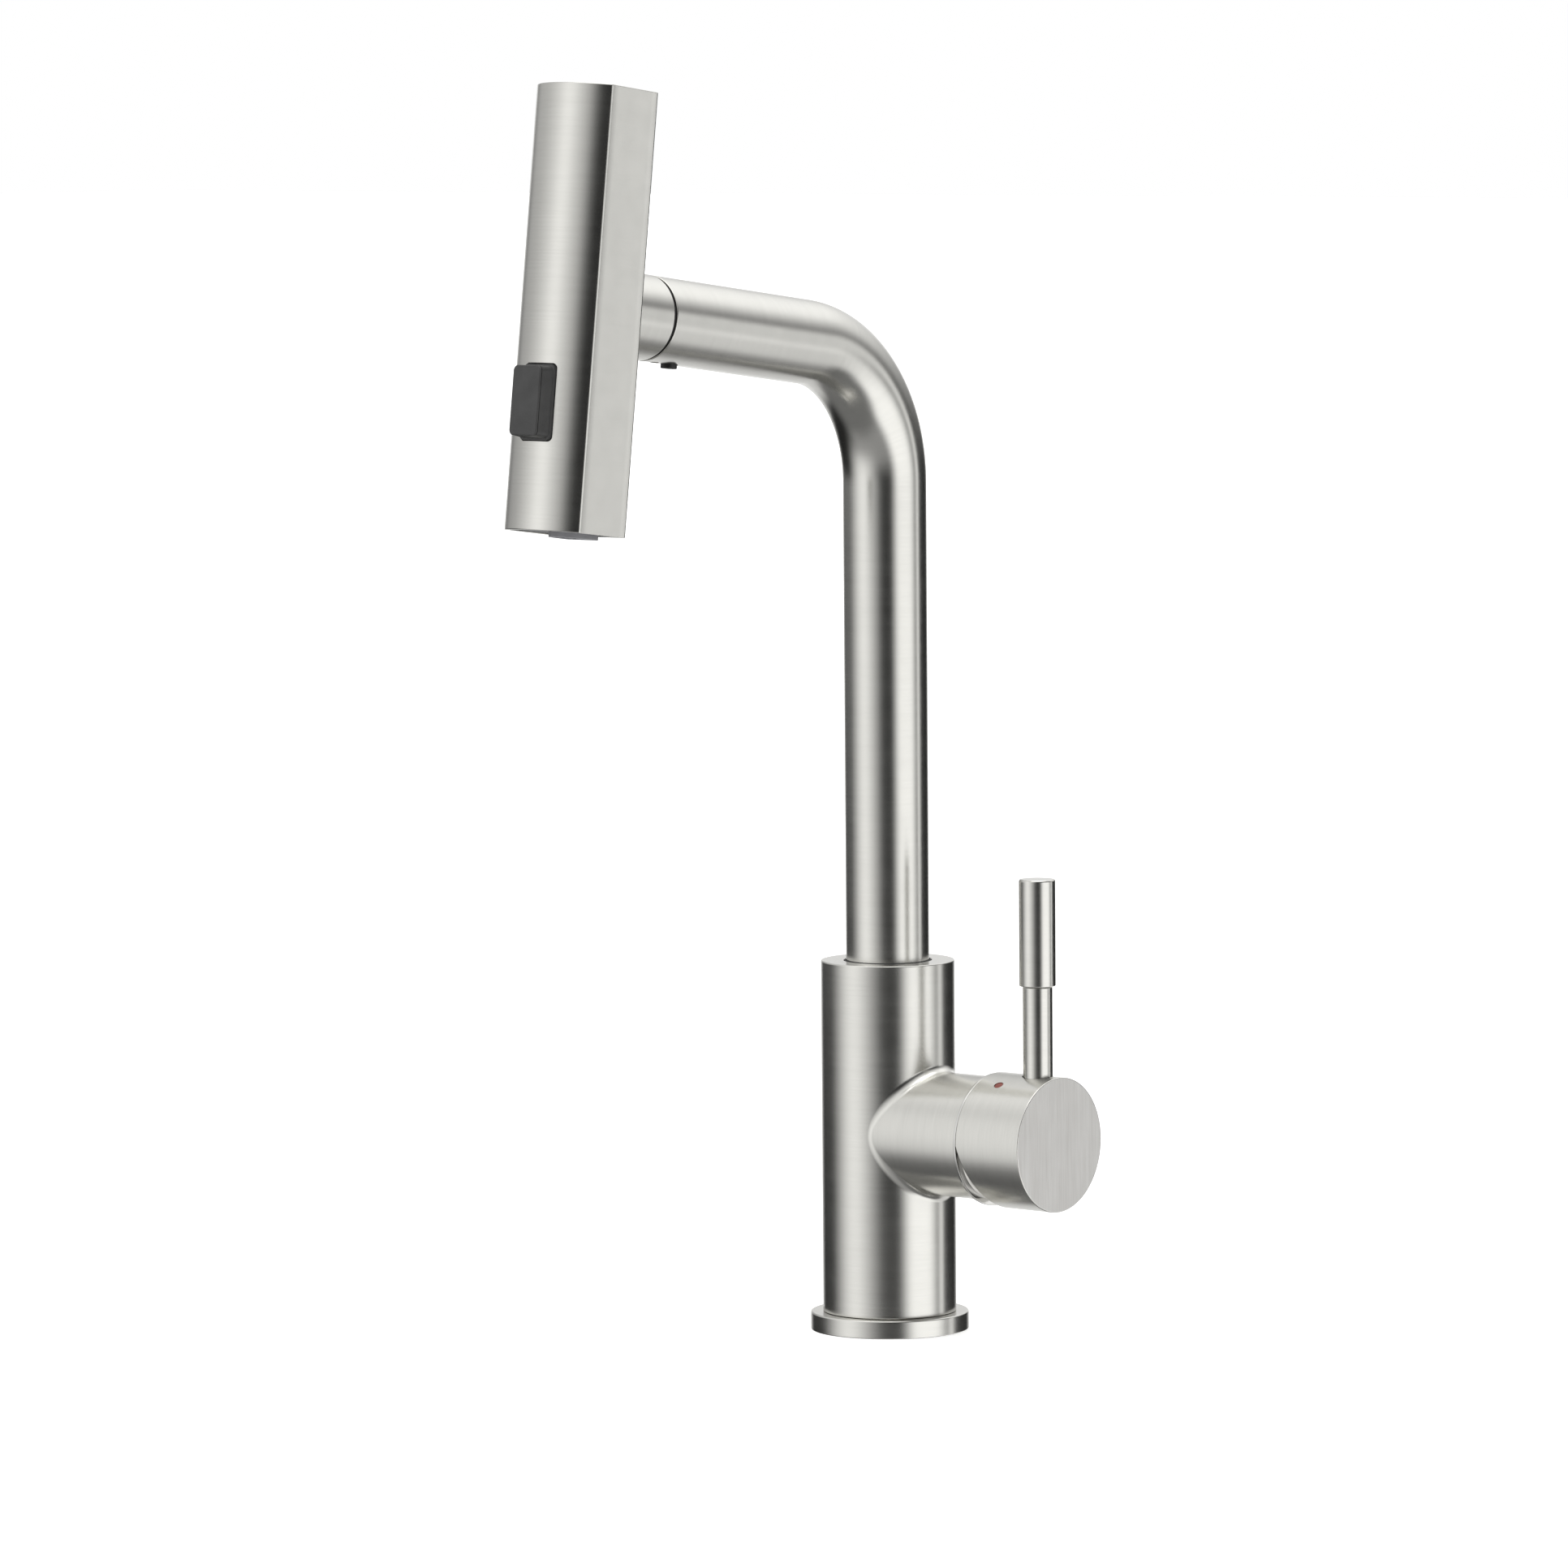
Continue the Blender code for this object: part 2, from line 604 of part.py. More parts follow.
def make_handle(lifting):
    """Round handle cap with the lever rod, its thicker grip, set screw and red marker."""
    inner = CAP_R - CAP_WALL
    face = CAP_END - CAP_FACE_THICK
    p = PIVOT_X
    cap = turned("handle_cap",
                 [(0, CAP_END - p), (CAP_R - 0.35, CAP_END - p), (CAP_R, CAP_END - 0.35 - p),
                  (CAP_R, CAP_START - p), (inner, CAP_START - p), (inner, face - p),
                  (BOSS_R, face - p), (BOSS_R, BOSS_START - p), (0, BOSS_START - p)],
                 STEEL, FINE, frame=lifting, turn=ALONG_X)
    relief = block("rocking relief", (-40, -40, -60), (0, 40, 0), frame=lifting,
                   at=(CAP_START - p, 0, 0), turn=(0, -LIFT_ANGLE, 0))
    combine(cap, relief)
    half_y = STEM_WIDE / 2 + CLEAR
    half_z = STEM_HIGH / 2 + CLEAR
    combine(cap, block("stem socket", (BOSS_START - 1 - p, -half_y, -half_z),
                       (STEM_END + CLEAR - p, half_y, half_z), frame=lifting))
    rod_foot = ROD_FOOT_Z - AXIS_Z
    lever_at = (LEVER_X - p, 0, 0)
    combine(cap, rod("rod hole", ROD_R + 0.35, rod_foot - CLEAR, CAP_R + 2, sides=24,
                     frame=lifting, at=lever_at))
    screw_top = -STEM_HIGH / 2 - CLEAR
    combine(cap, rod("screw hole", SET_SCREW_R + CLEAR, -CAP_R - 2, screw_top + 1, sides=16,
                     frame=lifting, at=(LEVER_X - 4 - p, 0, 0)))
    screw = rod("handle_set_screw", SET_SCREW_R, screw_top - SET_SCREW_LONG, screw_top, STEEL_DARK,
                16, chamfer=0.3, frame=lifting, at=(LEVER_X - 4 - p, 0, 0))
    hexagon = rod("hexagon socket", 1.45, screw_top - SET_SCREW_LONG - 1,
                  screw_top - SET_SCREW_LONG + 2.2, sides=6, frame=lifting, at=(LEVER_X - 4 - p, 0, 0))
    combine(screw, hexagon)

    grip_low = GRIP_BOTTOM - AXIS_Z
    grip_top = GRIP_TOP - AXIS_Z
    turned("lever_rod",
           [(0, grip_low + GRIP_SPIGOT_LONG), (GRIP_SPIGOT_R, grip_low + GRIP_SPIGOT_LONG),
            (GRIP_SPIGOT_R, grip_low - CLEAR), (ROD_R, grip_low - CLEAR), (ROD_R, rod_foot),
            (0, rod_foot)], STEEL, 24, frame=lifting, at=lever_at)
    turned("lever_grip",
           [(0, grip_top), (GRIP_R - 0.9, grip_top), (GRIP_R - 0.25, grip_top - 0.3),
            (GRIP_R, grip_top - 0.9), (GRIP_R, grip_low + 0.3), (GRIP_R - 0.3, grip_low),
            (GRIP_SPIGOT_R + CLEAR, grip_low),
            (GRIP_SPIGOT_R + CLEAR, grip_low + GRIP_SPIGOT_LONG + CLEAR),
            (0, grip_low + GRIP_SPIGOT_LONG + CLEAR)], STEEL, 32, frame=lifting, at=lever_at)

    dot_at = (DOT_X - p, 0, 0)
    turn = (DOT_ANGLE, 0, 0)
    combine(cap, rod("marker recess", DOT_R + 0.2, CAP_R - DOT_DEEP - 0.3, CAP_R + 1, sides=20,
                     frame=lifting, at=dot_at, turn=turn))
    rod("temperature_marker", DOT_R, CAP_R - DOT_DEEP, CAP_R - 0.08, RED_ENAMEL, 20,
        frame=lifting, at=dot_at, turn=turn)


def make_swivel():
    """Fixed swivel housing in the body, with wear washer, two rings and the top bushing."""
    outer = BODY_R - BODY_WALL - CLEAR
    floor = SWIVEL_BOTTOM + SWIVEL_FLOOR
    groove_r = SPOUT_R + CLEAR + 2 * ORING_WIRE_R + CLEAR
    groove_half = ORING_WIRE_R + CLEAR
    profile = [(SWIVEL_BORE_R, SWIVEL_TOP), (outer, SWIVEL_TOP), (outer, SWIVEL_BOTTOM),
               (SPOUT_FOOT_R + 0.8, SWIVEL_BOTTOM), (SPOUT_FOOT_R + 0.8, floor),
               (SWIVEL_BORE_R, floor)]
    for z in ORING_HEIGHTS:
        profile += [(SWIVEL_BORE_R, z - groove_half), (groove_r, z - groove_half),
                    (groove_r, z + groove_half), (SWIVEL_BORE_R, z + groove_half)]
    turned("swivel_housing", profile, BRASS, FINE, ring=True)
    for label, z in zip(("lower", "upper"), ORING_HEIGHTS):
        ring = [(SPOUT_R + CLEAR + ORING_WIRE_R + x, z + y) for x, y in
                arc((0, 0), ORING_WIRE_R, 90, -198, 4)]
        turned(label + "_swivel_ring", ring, RUBBER, FINE, ring=True)
    sleeve("wear_washer", SWIVEL_BORE_R - CLEAR, SPOUT_FOOT_R + 0.8, floor + CLEAR,
           SPOUT_BOTTOM - CLEAR, WHITE_PLASTIC, FINE)
    lip = LID_HOLE_R - CLEAR
    turned("top_bushing",
           [(SPOUT_R + CLEAR, BUSHING_LIP_TOP), (lip, BUSHING_LIP_TOP),
            (lip, BODY_TOP - BODY_LID - CLEAR), (outer, BODY_TOP - BODY_LID - CLEAR),
            (outer, SWIVEL_TOP + CLEAR), (SPOUT_R + CLEAR, SWIVEL_TOP + CLEAR)],
           GREY_PLASTIC, FINE, ring=True)


def make_spout():
    """The bent spout tube and the brass foot and clip that hold it in the swivel housing."""
    inner = SPOUT_R - SPOUT_WALL
    tube = wire("spout_tube", spout_line(SPOUT_BOTTOM, SPOUT_END), SPOUT_R, STEEL, rounding=10)
    bore = wire("spout bore", spout_line(SPOUT_BOTTOM - 1, SPOUT_END + 1), inner, rounding=10)
    combine(tube, bore)
    clip_top = SWIVEL_BOTTOM - CLEAR
    clip_low = clip_top - CLIP_THICK
    deep = SPOUT_FOOT_R - CLIP_GROOVE
    foot_r = inner - CLEAR
    turned("spout_foot",
           [(SPOUT_FOOT_BORE_R, SPOUT_FOOT_TOP), (foot_r, SPOUT_FOOT_TOP),
            (foot_r, clip_top + CLEAR), (deep, clip_top + CLEAR), (deep, clip_low - CLEAR),
            (foot_r, clip_low - CLEAR), (foot_r, SPOUT_FOOT_BOTTOM),
            (SPOUT_FOOT_BORE_R, SPOUT_FOOT_BOTTOM)], BRASS, MEDIUM, ring=True)
    clip = sleeve("retaining_clip", CLIP_OUT_R, deep + CLEAR, clip_low, clip_top, STEEL_DARK)
    combine(clip, block("clip mouth", (-5, 0, clip_low - 1), (5, 30, clip_top + 1)))
    return tube


def make_dock(tube, frame):
    """Plastic dock in the spout end, the plug and screw that hold it, and the seal ring."""
    inner = SPOUT_R - SPOUT_WALL - CLEAR
    dock = turned("dock_insert",
                  [(DOCK_SOCKET_R, SPOUT_END - 0.4), (inner, SPOUT_END - 0.4), (inner, DOCK_BACK),
                   (DOCK_HOSE_R, DOCK_BACK), (DOCK_HOSE_R, DOCK_SOCKET_START),
                   (DOCK_SOCKET_R, DOCK_SOCKET_START)], BLACK_PLASTIC, MEDIUM, ring=True,
                  frame=frame, turn=ALONG_REACH)
    floor = 11.3
    for label, reach, radius in (("plug", PLUG_AT, PLUG_R), ("screw", GRUB_AT, GRUB_R)):
        at = (0, -reach, 0)
        tool = rod(label + " hole", radius + CLEAR, floor, SPOUT_R + 3, sides=20, frame=frame,
                   at=at, turn=DOWNWARD)
        combine(dock, tool)
        combine(tube, tool)
    plug_top = SPOUT_R + PLUG_PROUD
    turned("dock_plug",
           [(0, plug_top), (PLUG_R - 0.5, plug_top), (PLUG_R, plug_top - 0.5),
            (PLUG_R, floor + CLEAR), (0, floor + CLEAR)], BLACK_PLASTIC, SMALL,
           frame=frame, at=(0, -PLUG_AT, 0), turn=DOWNWARD)
    screw = rod("dock_screw", GRUB_R, floor + CLEAR, SPOUT_R - 0.9, STEEL_DARK, SMALL,
                frame=frame, at=(0, -GRUB_AT, 0), turn=DOWNWARD)
    combine(screw, rod("screw socket", 1.2, SPOUT_R - 2.6, SPOUT_R, sides=6, frame=frame,
                       at=(0, -GRUB_AT, 0), turn=DOWNWARD))
    sleeve("dock_seal", SPOUT_R - 0.35, 12.0, SPOUT_END + CLEAR, SPOUT_END + CLEAR + DOCK_SEAL_THICK,
           RUBBER, FINE, frame=frame, turn=ALONG_REACH)


def make_hose(frame):
    """Spray hose through the spout, its end fittings and the check valve it feeds."""
    wire("spray_hose", spout_line(HOSE_BOTTOM, HOSE_END, HOSE_SPACING), HOSE_R, HOSE_BRAID, rounding=3)
    turned("hose_coupling",
           [(0, COUPLING_TOP), (HOSE_R + CLEAR + 1.2, COUPLING_TOP),
            (HOSE_R + CLEAR + 1.2, FOOT_TOP - 2), (COUPLING_R, FOOT_TOP - 2),
            (COUPLING_R, COUPLING_BOTTOM), (0, COUPLING_BOTTOM)], BRASS, MEDIUM)
    coupling = bpy.data.objects["hose_coupling"]
    combine(coupling, rod("coupling hose socket", HOSE_R + CLEAR, HOSE_BOTTOM - CLEAR,
                          COUPLING_TOP + 1, sides=MEDIUM))
    combine(coupling, rod("coupling water way", 4.0, COUPLING_BOTTOM - 1, HOSE_BOTTOM, sides=SMALL))
    turned("hose_ferrule",
           [(4.2, FERRULE_END), (FERRULE_FLANGE_R, FERRULE_END),
            (FERRULE_FLANGE_R, FERRULE_FLANGE_AT), (FERRULE_R, FERRULE_FLANGE_AT),
            (FERRULE_R, FERRULE_START), (HOSE_R + CLEAR, FERRULE_START),
            (HOSE_R + CLEAR, HOSE_END + CLEAR), (4.2, HOSE_END + CLEAR)], STEEL_DARK, MEDIUM,
           ring=True, frame=frame, turn=ALONG_REACH)
    washer_end = FERRULE_END + CLEAR + WASHER_THICK
    sleeve("hose_washer", FERRULE_FLANGE_R - 0.2, 4.6, FERRULE_END + CLEAR, washer_end, RUBBER,
           SMALL, frame=frame, turn=ALONG_REACH)
    nut = turned("hose_swivel_nut",
                 [(INLET_R + CLEAR, SWIVEL_NUT_END), (SWIVEL_NUT_R, SWIVEL_NUT_END),
                  (SWIVEL_NUT_R, NECK_ROOM_START + CLEAR),
                  (FERRULE_R + CLEAR, NECK_ROOM_START + CLEAR),
                  (FERRULE_R + CLEAR, FERRULE_FLANGE_AT - CLEAR),
                  (INLET_R + CLEAR, FERRULE_FLANGE_AT - CLEAR)], BRASS, MEDIUM, ring=True,
                 frame=frame, turn=ALONG_REACH)
    combine(nut, rod("nut flats", SWIVEL_NUT_R + 3, 0, 300, sides=6, frame=frame, turn=ALONG_REACH),
            "INTERSECT")
    start = INLET_START + 2.5
    sleeve("check_valve", CHECK_VALVE_R, 3.4, start, start + CHECK_VALVE_LONG, WHITE_PLASTIC, SMALL,
           frame=frame, turn=ALONG_REACH)
    turned("neck_collar",
           [(NECK_ROOM_R, HEAD_BACK - CLEAR), (SPOUT_R - 0.25, HEAD_BACK - CLEAR),
            (SPOUT_R, HEAD_BACK - CLEAR - 0.25), (SPOUT_R, NECK_START + 0.25),
            (SPOUT_R - 0.25, NECK_START), (DOCK_SOCKET_R - CLEAR, NECK_START),
            (DOCK_SOCKET_R - CLEAR, SPIGOT_START + 1), (DOCK_SOCKET_R - CLEAR - 1, SPIGOT_START),
            (NECK_BORE_R, SPIGOT_START), (NECK_BORE_R, NECK_ROOM_START),
            (NECK_ROOM_R, NECK_ROOM_START)], STEEL, FINE, ring=True, frame=frame, turn=ALONG_REACH)


def head_outline(inset):
    """The D section of the spray head, drawn the given distance inside its outer face."""
    half = HEAD_HALF_WIDE - inset
    radius = HEAD_ARC_R - inset
    rise = math.sqrt(HEAD_ARC_R ** 2 - HEAD_HALF_WIDE ** 2)
    centre = -(HEAD_SIDE_END - rise)
    swing = math.degrees(math.asin(half / radius))
    front = arc((0, centre), radius, 270 - swing, 270 + swing, 24)
    back = -(HEAD_BACK + inset)
    return front + [(half, back), (-half, back)]


def nozzle_outline(inset):
    """The small D section of the nozzle."""
    half = NOZZLE_HALF_WIDE - inset
    back = -(NOZZLE_BACK + inset)
    return arc((0, -NOZZLE_MID), half, 180, 360, 16) + [(half, back), (-half, back)]


def make_head_shell(frame):
    """Brushed D section shell, open below, with the hose inlet hole and the button opening."""
    shell = extruded("head_shell", head_outline(0), HEAD_BOTTOM, HEAD_TOP, STEEL, frame=frame)
    combine(shell, extruded("shell room", head_outline(HEAD_WALL), HEAD_BOTTOM - 1,
                            HEAD_TOP - HEAD_ROOF, frame=frame))
    combine(shell, rod("inlet hole", INLET_R + CLEAR, HEAD_BACK - 2, HEAD_BACK + HEAD_WALL + 2,
                       sides=MEDIUM, frame=frame, turn=ALONG_REACH))
    half_x = BUTTON_BASE_WIDE / 2 + BUTTON_GAP
    half_z = BUTTON_BASE_HIGH / 2 + BUTTON_GAP
    opening = block("button opening", (-half_x, -BUTTON_FACE_AT - 4, BUTTON_MID - half_z),
                    (half_x, -HEAD_SIDE_END, BUTTON_MID + half_z), frame=frame)
    combine(shell, bevel(opening, BUTTON_ROUND + 0.3, 3))


def make_core(frame):
    """Waterway inside the head with the hose inlet, and the spool that picks spray or stream."""
    at = (0, -CORE_AT, 0)
    core = rod("head_core", CORE_R, CORE_BOTTOM, CORE_TOP, WHITE_PLASTIC, MEDIUM, frame=frame, at=at)
    combine(core, rod("inlet tube", INLET_R, INLET_START, CORE_AT - 1, sides=24, frame=frame,
                      turn=ALONG_REACH), "UNION")
    combine(core, rod("inlet bore", INLET_BORE_R, INLET_START - 1, CORE_AT, sides=SMALL, frame=frame,
                      turn=ALONG_REACH))
    combine(core, rod("core bore", CORE_BORE_R, CORE_BOTTOM - 1, CORE_TOP - 5, sides=24,
                      frame=frame, at=at))
    room = PLUNGER_R + 0.6
    combine(core, block("plunger window", (-room, -CORE_AT - CORE_R - 2, BUTTON_MID - room),
                        (room, -CORE_AT - 3, BUTTON_MID + room), frame=frame))
    groove = SPOOL_R - 1.8
    mid = (SPOOL_TOP + SPOOL_BOTTOM) / 2
    spool = turned("diverter_spool",
                   [(2.2, SPOOL_TOP), (SPOOL_R, SPOOL_TOP), (SPOOL_R, SPOOL_TOP - 4),
                    (groove, SPOOL_TOP - 5), (groove, mid + 5), (SPOOL_R, mid + 4),
                    (SPOOL_R, mid - 4), (groove, mid - 5), (groove, SPOOL_BOTTOM + 5),
                    (SPOOL_R, SPOOL_BOTTOM + 4), (SPOOL_R, SPOOL_BOTTOM), (2.2, SPOOL_BOTTOM)],
                   GREY_PLASTIC, MEDIUM, ring=True, frame=frame, at=at)
    slot_y = PLUNGER_R + CLEAR
    ramp = block("spool slot", (-slot_y, -CORE_AT - SPOOL_R - 1, BUTTON_MID - room),
                 (slot_y, -CORE_AT - SPOOL_R + 3.1, BUTTON_MID + room + SPOOL_TRAVEL), frame=frame)
    combine(spool, ramp)


def make_button(frame):
    """Charcoal push button with its plunger, the guide plate behind it and its return spring."""
    pressing = empty("button_axis", (0, 0, 0))
    pressing.parent = frame
    pressing.location = Vector((0, -BUTTON_BACK_AT, BUTTON_MID)) * MM
    shoulder = -(BUTTON_SHOULDER_AT - BUTTON_BACK_AT)
    button = block("spray_button", (-BUTTON_BASE_WIDE / 2, shoulder, -BUTTON_BASE_HIGH / 2),
                   (BUTTON_BASE_WIDE / 2, 0, BUTTON_BASE_HIGH / 2), CHARCOAL, frame=pressing)
    add_taper(button.data, BUTTON_BACK_AT - BUTTON_FACE_AT)
    bevel(button, BUTTON_ROUND, 3)
    half_x = BUTTON_BASE_WIDE / 2 + BUTTON_FLANGE_EXTRA
    half_z = BUTTON_BASE_HIGH / 2 + BUTTON_FLANGE_EXTRA
    combine(button, block("button flange", (-half_x, -BUTTON_FLANGE_THICK, -half_z),
                          (half_x, 0, half_z), frame=pressing), "UNION")
    reach = BUTTON_BACK_AT - CORE_AT - SPOOL_R + 0.7
    combine(button, rod("plunger", PLUNGER_R, -1, reach, sides=12, frame=pressing,
                        turn=(math.radians(-90), 0, 0)), "UNION")
    guide = block("button_guide", (-half_x, -GUIDE_AT, BUTTON_MID - half_z),
                  (half_x, -CORE_AT - CORE_R - CLEAR, BUTTON_MID + half_z), BLACK_PLASTIC,
                  frame=frame)
    combine(guide, rod("plunger hole", PLUNGER_R + CLEAR, CORE_AT, GUIDE_AT + 5, sides=16,
                       frame=frame, at=(0, 0, BUTTON_MID), turn=ALONG_REACH))
    make_button_spring(frame)


def make_button_spring(frame):
    """Conical return spring, whose turns lie inside each other when the button is pressed."""
    steps = 12
    count = SPRING_TURNS * steps
    low = GUIDE_AT + SPRING_WIRE_R + CLEAR
    high = BUTTON_BACK_AT - SPRING_WIRE_R - CLEAR
    coil = []
    for i in range(count + 1):
        radius = SPRING_NARROW_R + (SPRING_WIDE_R - SPRING_NARROW_R) * i / count
        angle = math.tau * i / steps
        coil.append((radius * math.cos(angle), -(low + (high - low) * i / count),
                     BUTTON_MID + radius * math.sin(angle)))
    spring = wire("button_spring", coil, SPRING_WIRE_R, STEEL_DARK, rounding=0, frame=frame)
    spring.modifiers.new("flat faces", "TRIANGULATE")


def add_taper(mesh, face_y):
    """Draws the front face of the button block out and in, so that its sides lean."""
    shape = bmesh.new()
    shape.from_mesh(mesh)
    front = min(shape.faces, key=lambda f: f.calc_center_median().y)
    grown = bmesh.ops.extrude_face_region(shape, geom=[front])
    shape.faces.remove(front)
    for vert in (v for v in grown["geom"] if isinstance(v, bmesh.types.BMVert)):
        vert.co.x *= BUTTON_FACE_WIDE / BUTTON_BASE_WIDE
        vert.co.z *= BUTTON_FACE_HIGH / BUTTON_BASE_HIGH
        vert.co.y = face_y * MM
    shape.to_mesh(mesh)
    shape.free()


def make_outlet(frame):
    """Face plate, nozzle ring, rubber spray nubs and the aerator in the bottom of the head."""
    low = HEAD_BOTTOM + FACE_RECESS
    plate = extruded("spray_face", head_outline(HEAD_WALL + CLEAR), low, low + FACE_THICK,
                     BLACK_PLASTIC, frame=frame)
    combine(plate, extruded("nozzle opening", nozzle_outline(-CLEAR), low - 1, low + FACE_THICK + 1,
                            frame=frame))
    nozzle_low = HEAD_BOTTOM - NOZZLE_PROUD
    nozzle = extruded("nozzle_ring", nozzle_outline(0), nozzle_low, nozzle_low + NOZZLE_LONG,
                      GREY_PLASTIC, frame=frame)
    combine(nozzle, extruded("nozzle room", nozzle_outline(NOZZLE_WALL), nozzle_low - 1,
                             nozzle_low + NOZZLE_LONG + 1, frame=frame))
    pad_low = nozzle_low + NUB_LONG
    pad = extruded("spray_nubs", nozzle_outline(NOZZLE_WALL + CLEAR), pad_low, pad_low + 2.0,
                   GREY_RUBBER, frame=frame)
    mid = (0, -NOZZLE_MID + 0.4, 0)
    combine(pad, rod("aerator hole", AERATOR_R + CLEAR, pad_low - 1, pad_low + 3, sides=24,
                     frame=frame, at=mid))
    for i in range(8):
        a = math.tau * (i + 0.5) / 8
        spot = (5.1 * math.cos(a), mid[1] + 5.1 * math.sin(a), 0)
        nub = rod(f"nub {i}", NUB_R, nozzle_low + 0.1, pad_low + 0.5, sides=6, frame=frame, at=spot)
        combine(pad, nub, "UNION")
    aerator = rod("aerator", AERATOR_R, nozzle_low + 0.5, nozzle_low + NOZZLE_LONG, GREY_PLASTIC, 24,
                  frame=frame, at=mid)
    for ix in range(-1, 2):
        for iy in range(-1, 2):
            tool = block(f"mesh hole {ix} {iy}", (ix * 1.9 - 0.6, iy * 1.9 - 0.6, nozzle_low - 1),
                         (ix * 1.9 + 0.6, iy * 1.9 + 0.6, nozzle_low + NOZZLE_LONG + 1),
                         frame=frame, at=mid)
            combine(aerator, tool)
    core_room = HEAD_BOTTOM + FACE_RECESS + FACE_THICK + CLEAR
    funnel_in = NOZZLE_HALF_WIDE - NOZZLE_WALL
    turned("outlet_funnel",
           [(CORE_BORE_R - 1.2, CORE_BOTTOM + 5), (CORE_BORE_R - CLEAR, CORE_BOTTOM + 5),
            (CORE_BORE_R - CLEAR, CORE_BOTTOM - CLEAR), (CORE_R, CORE_BOTTOM - CLEAR),
            (CORE_R, core_room), (funnel_in, core_room)], BLACK_PLASTIC, 24, ring=True,
           frame=frame, at=(0, -CORE_AT, 0))


def build():
    """Makes every piece of the faucet."""
    make_base()
    make_body()
    fixed_top, roof = make_valve()
    lifting = make_cartridge_works(fixed_top, roof)
    make_bonnet()
    make_handle(lifting)
    make_swivel()
    tube = make_spout()
    frame = empty("spout_end_line", (0, 0, SPOUT_AXIS_Z), (-SPOUT_TILT, 0, 0))
    make_dock(tube, frame)
    make_hose(frame)
    make_head_shell(frame)
    make_core(frame)
    make_button(frame)
    make_outlet(frame)


build()
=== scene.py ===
"""Pull down kitchen faucet in brushed stainless steel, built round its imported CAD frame.

World frame in metres: the deck is Z = 0, the body stands on the Z axis, the spout points along -Y
and the handle branch along +X.  Named sizes are in millimetres, and MM turns them into metres.
Every new piece is a grid of points: columns go round the piece and rows follow its profile.  The
grids are worked out in a local frame (a, b, h), where h runs along the piece's own axis.
"""

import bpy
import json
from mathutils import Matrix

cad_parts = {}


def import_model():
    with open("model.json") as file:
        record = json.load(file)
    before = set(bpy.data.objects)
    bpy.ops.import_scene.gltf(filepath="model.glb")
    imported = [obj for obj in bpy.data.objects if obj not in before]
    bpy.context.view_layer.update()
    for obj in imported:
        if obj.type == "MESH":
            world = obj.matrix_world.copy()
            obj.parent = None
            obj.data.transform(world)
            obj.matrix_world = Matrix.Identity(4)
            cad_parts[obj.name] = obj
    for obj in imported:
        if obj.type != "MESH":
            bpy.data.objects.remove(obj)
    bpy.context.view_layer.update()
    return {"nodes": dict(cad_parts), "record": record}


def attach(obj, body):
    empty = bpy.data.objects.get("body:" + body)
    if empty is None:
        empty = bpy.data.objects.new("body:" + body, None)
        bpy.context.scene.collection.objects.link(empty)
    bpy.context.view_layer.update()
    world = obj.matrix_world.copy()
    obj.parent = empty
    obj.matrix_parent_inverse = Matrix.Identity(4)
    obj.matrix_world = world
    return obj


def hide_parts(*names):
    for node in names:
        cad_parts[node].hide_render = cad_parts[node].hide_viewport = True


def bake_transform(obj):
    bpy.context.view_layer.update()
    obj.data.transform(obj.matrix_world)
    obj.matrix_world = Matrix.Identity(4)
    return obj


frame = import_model()

import json
import math

import bmesh
import bpy
import numpy as np
from mathutils import Matrix, Vector

MM = 0.001
ROUND = 128            # columns round the large pieces
SMALL_ROUND = 64       # columns round the small pieces
SMOOTH_ANGLE = math.radians(33)

# Base and body
FLANGE_R, FLANGE_TOP, FLANGE_BORE_R = 29.65, 6.7, 19.0
GROOVE_OUT_R, GROOVE_IN_R, GROOVE_DEEP = 26.5, 22.0, 2.0       # groove for the gasket
BODY_R, BODY_LOW, BODY_TOP = 25.0, 6.85, 138.9
BODY_BORE_R, LID_BOTTOM, LID_HOLE_R = 22.3, 134.9, 16.5
BUSHING_TOP, BUSHING_BOTTOM = 139.05, 130.8
AXIS_Z = 75.3
BRANCH_R, BRANCH_BORE_R, BRANCH_END, BRANCH_BACK = 23.0, 20.3, 50.6, 17.5
WELD_R, WELD_MORE = 3.0, 2.8   # hollow of the polished weld: its radius, and what the sides add

# Handle
PIVOT_X = 54.0
BONNET_R, BONNET_START, BONNET_RIM_END = 24.7, 50.9, 51.9
BALL_R, BALL_WALL, BALL_END = 22.2, 1.4, 59.0
SLEEVE_BORE_R, SLEEVE_STEP_R, SLEEVE_STEP = 18.6, 20.0, 50.1
RIM_TURN_R, RIM_KEPT_R = 22.1, 22.4      # the rim's flat points at the first, kept to the second
CAP_R, CAP_BORE_R, CAP_START, CAP_END, CAP_FLOOR = 25.0, 22.7, 52.1, 81.3, 77.8
BOSS_R, BOSS_START = 10.0, 62.0
RELIEF_SLOPE, RELIEF_LONG = math.tan(math.radians(18)), 17.0
STEM_SOCKET, STEM_SOCKET_END = (3.3, 4.3), 70.3
POLE_R = 4.0           # radius of the flat that closes the middle of the cap
LEVER_X = 71.4
ROD_R, ROD_FOOT, ROD_TOP = 5.5, 83.6, 133.35
GRIP_R, GRIP_BOTTOM, GRIP_TOP, GRIP_BORE_R, GRIP_BORE_END = 6.75, 133.65, 173.2, 3.8, 147.95
SPIGOT_R, SPIGOT_END = 3.5, 147.65
DOT_R, DOT_X, DOT_ANGLE = 1.65, 62.2, math.radians(28)
SET_SCREW_X, SET_SCREW_HOLE_R, SET_SCREW_TOP = 67.4, 2.8, -4.3

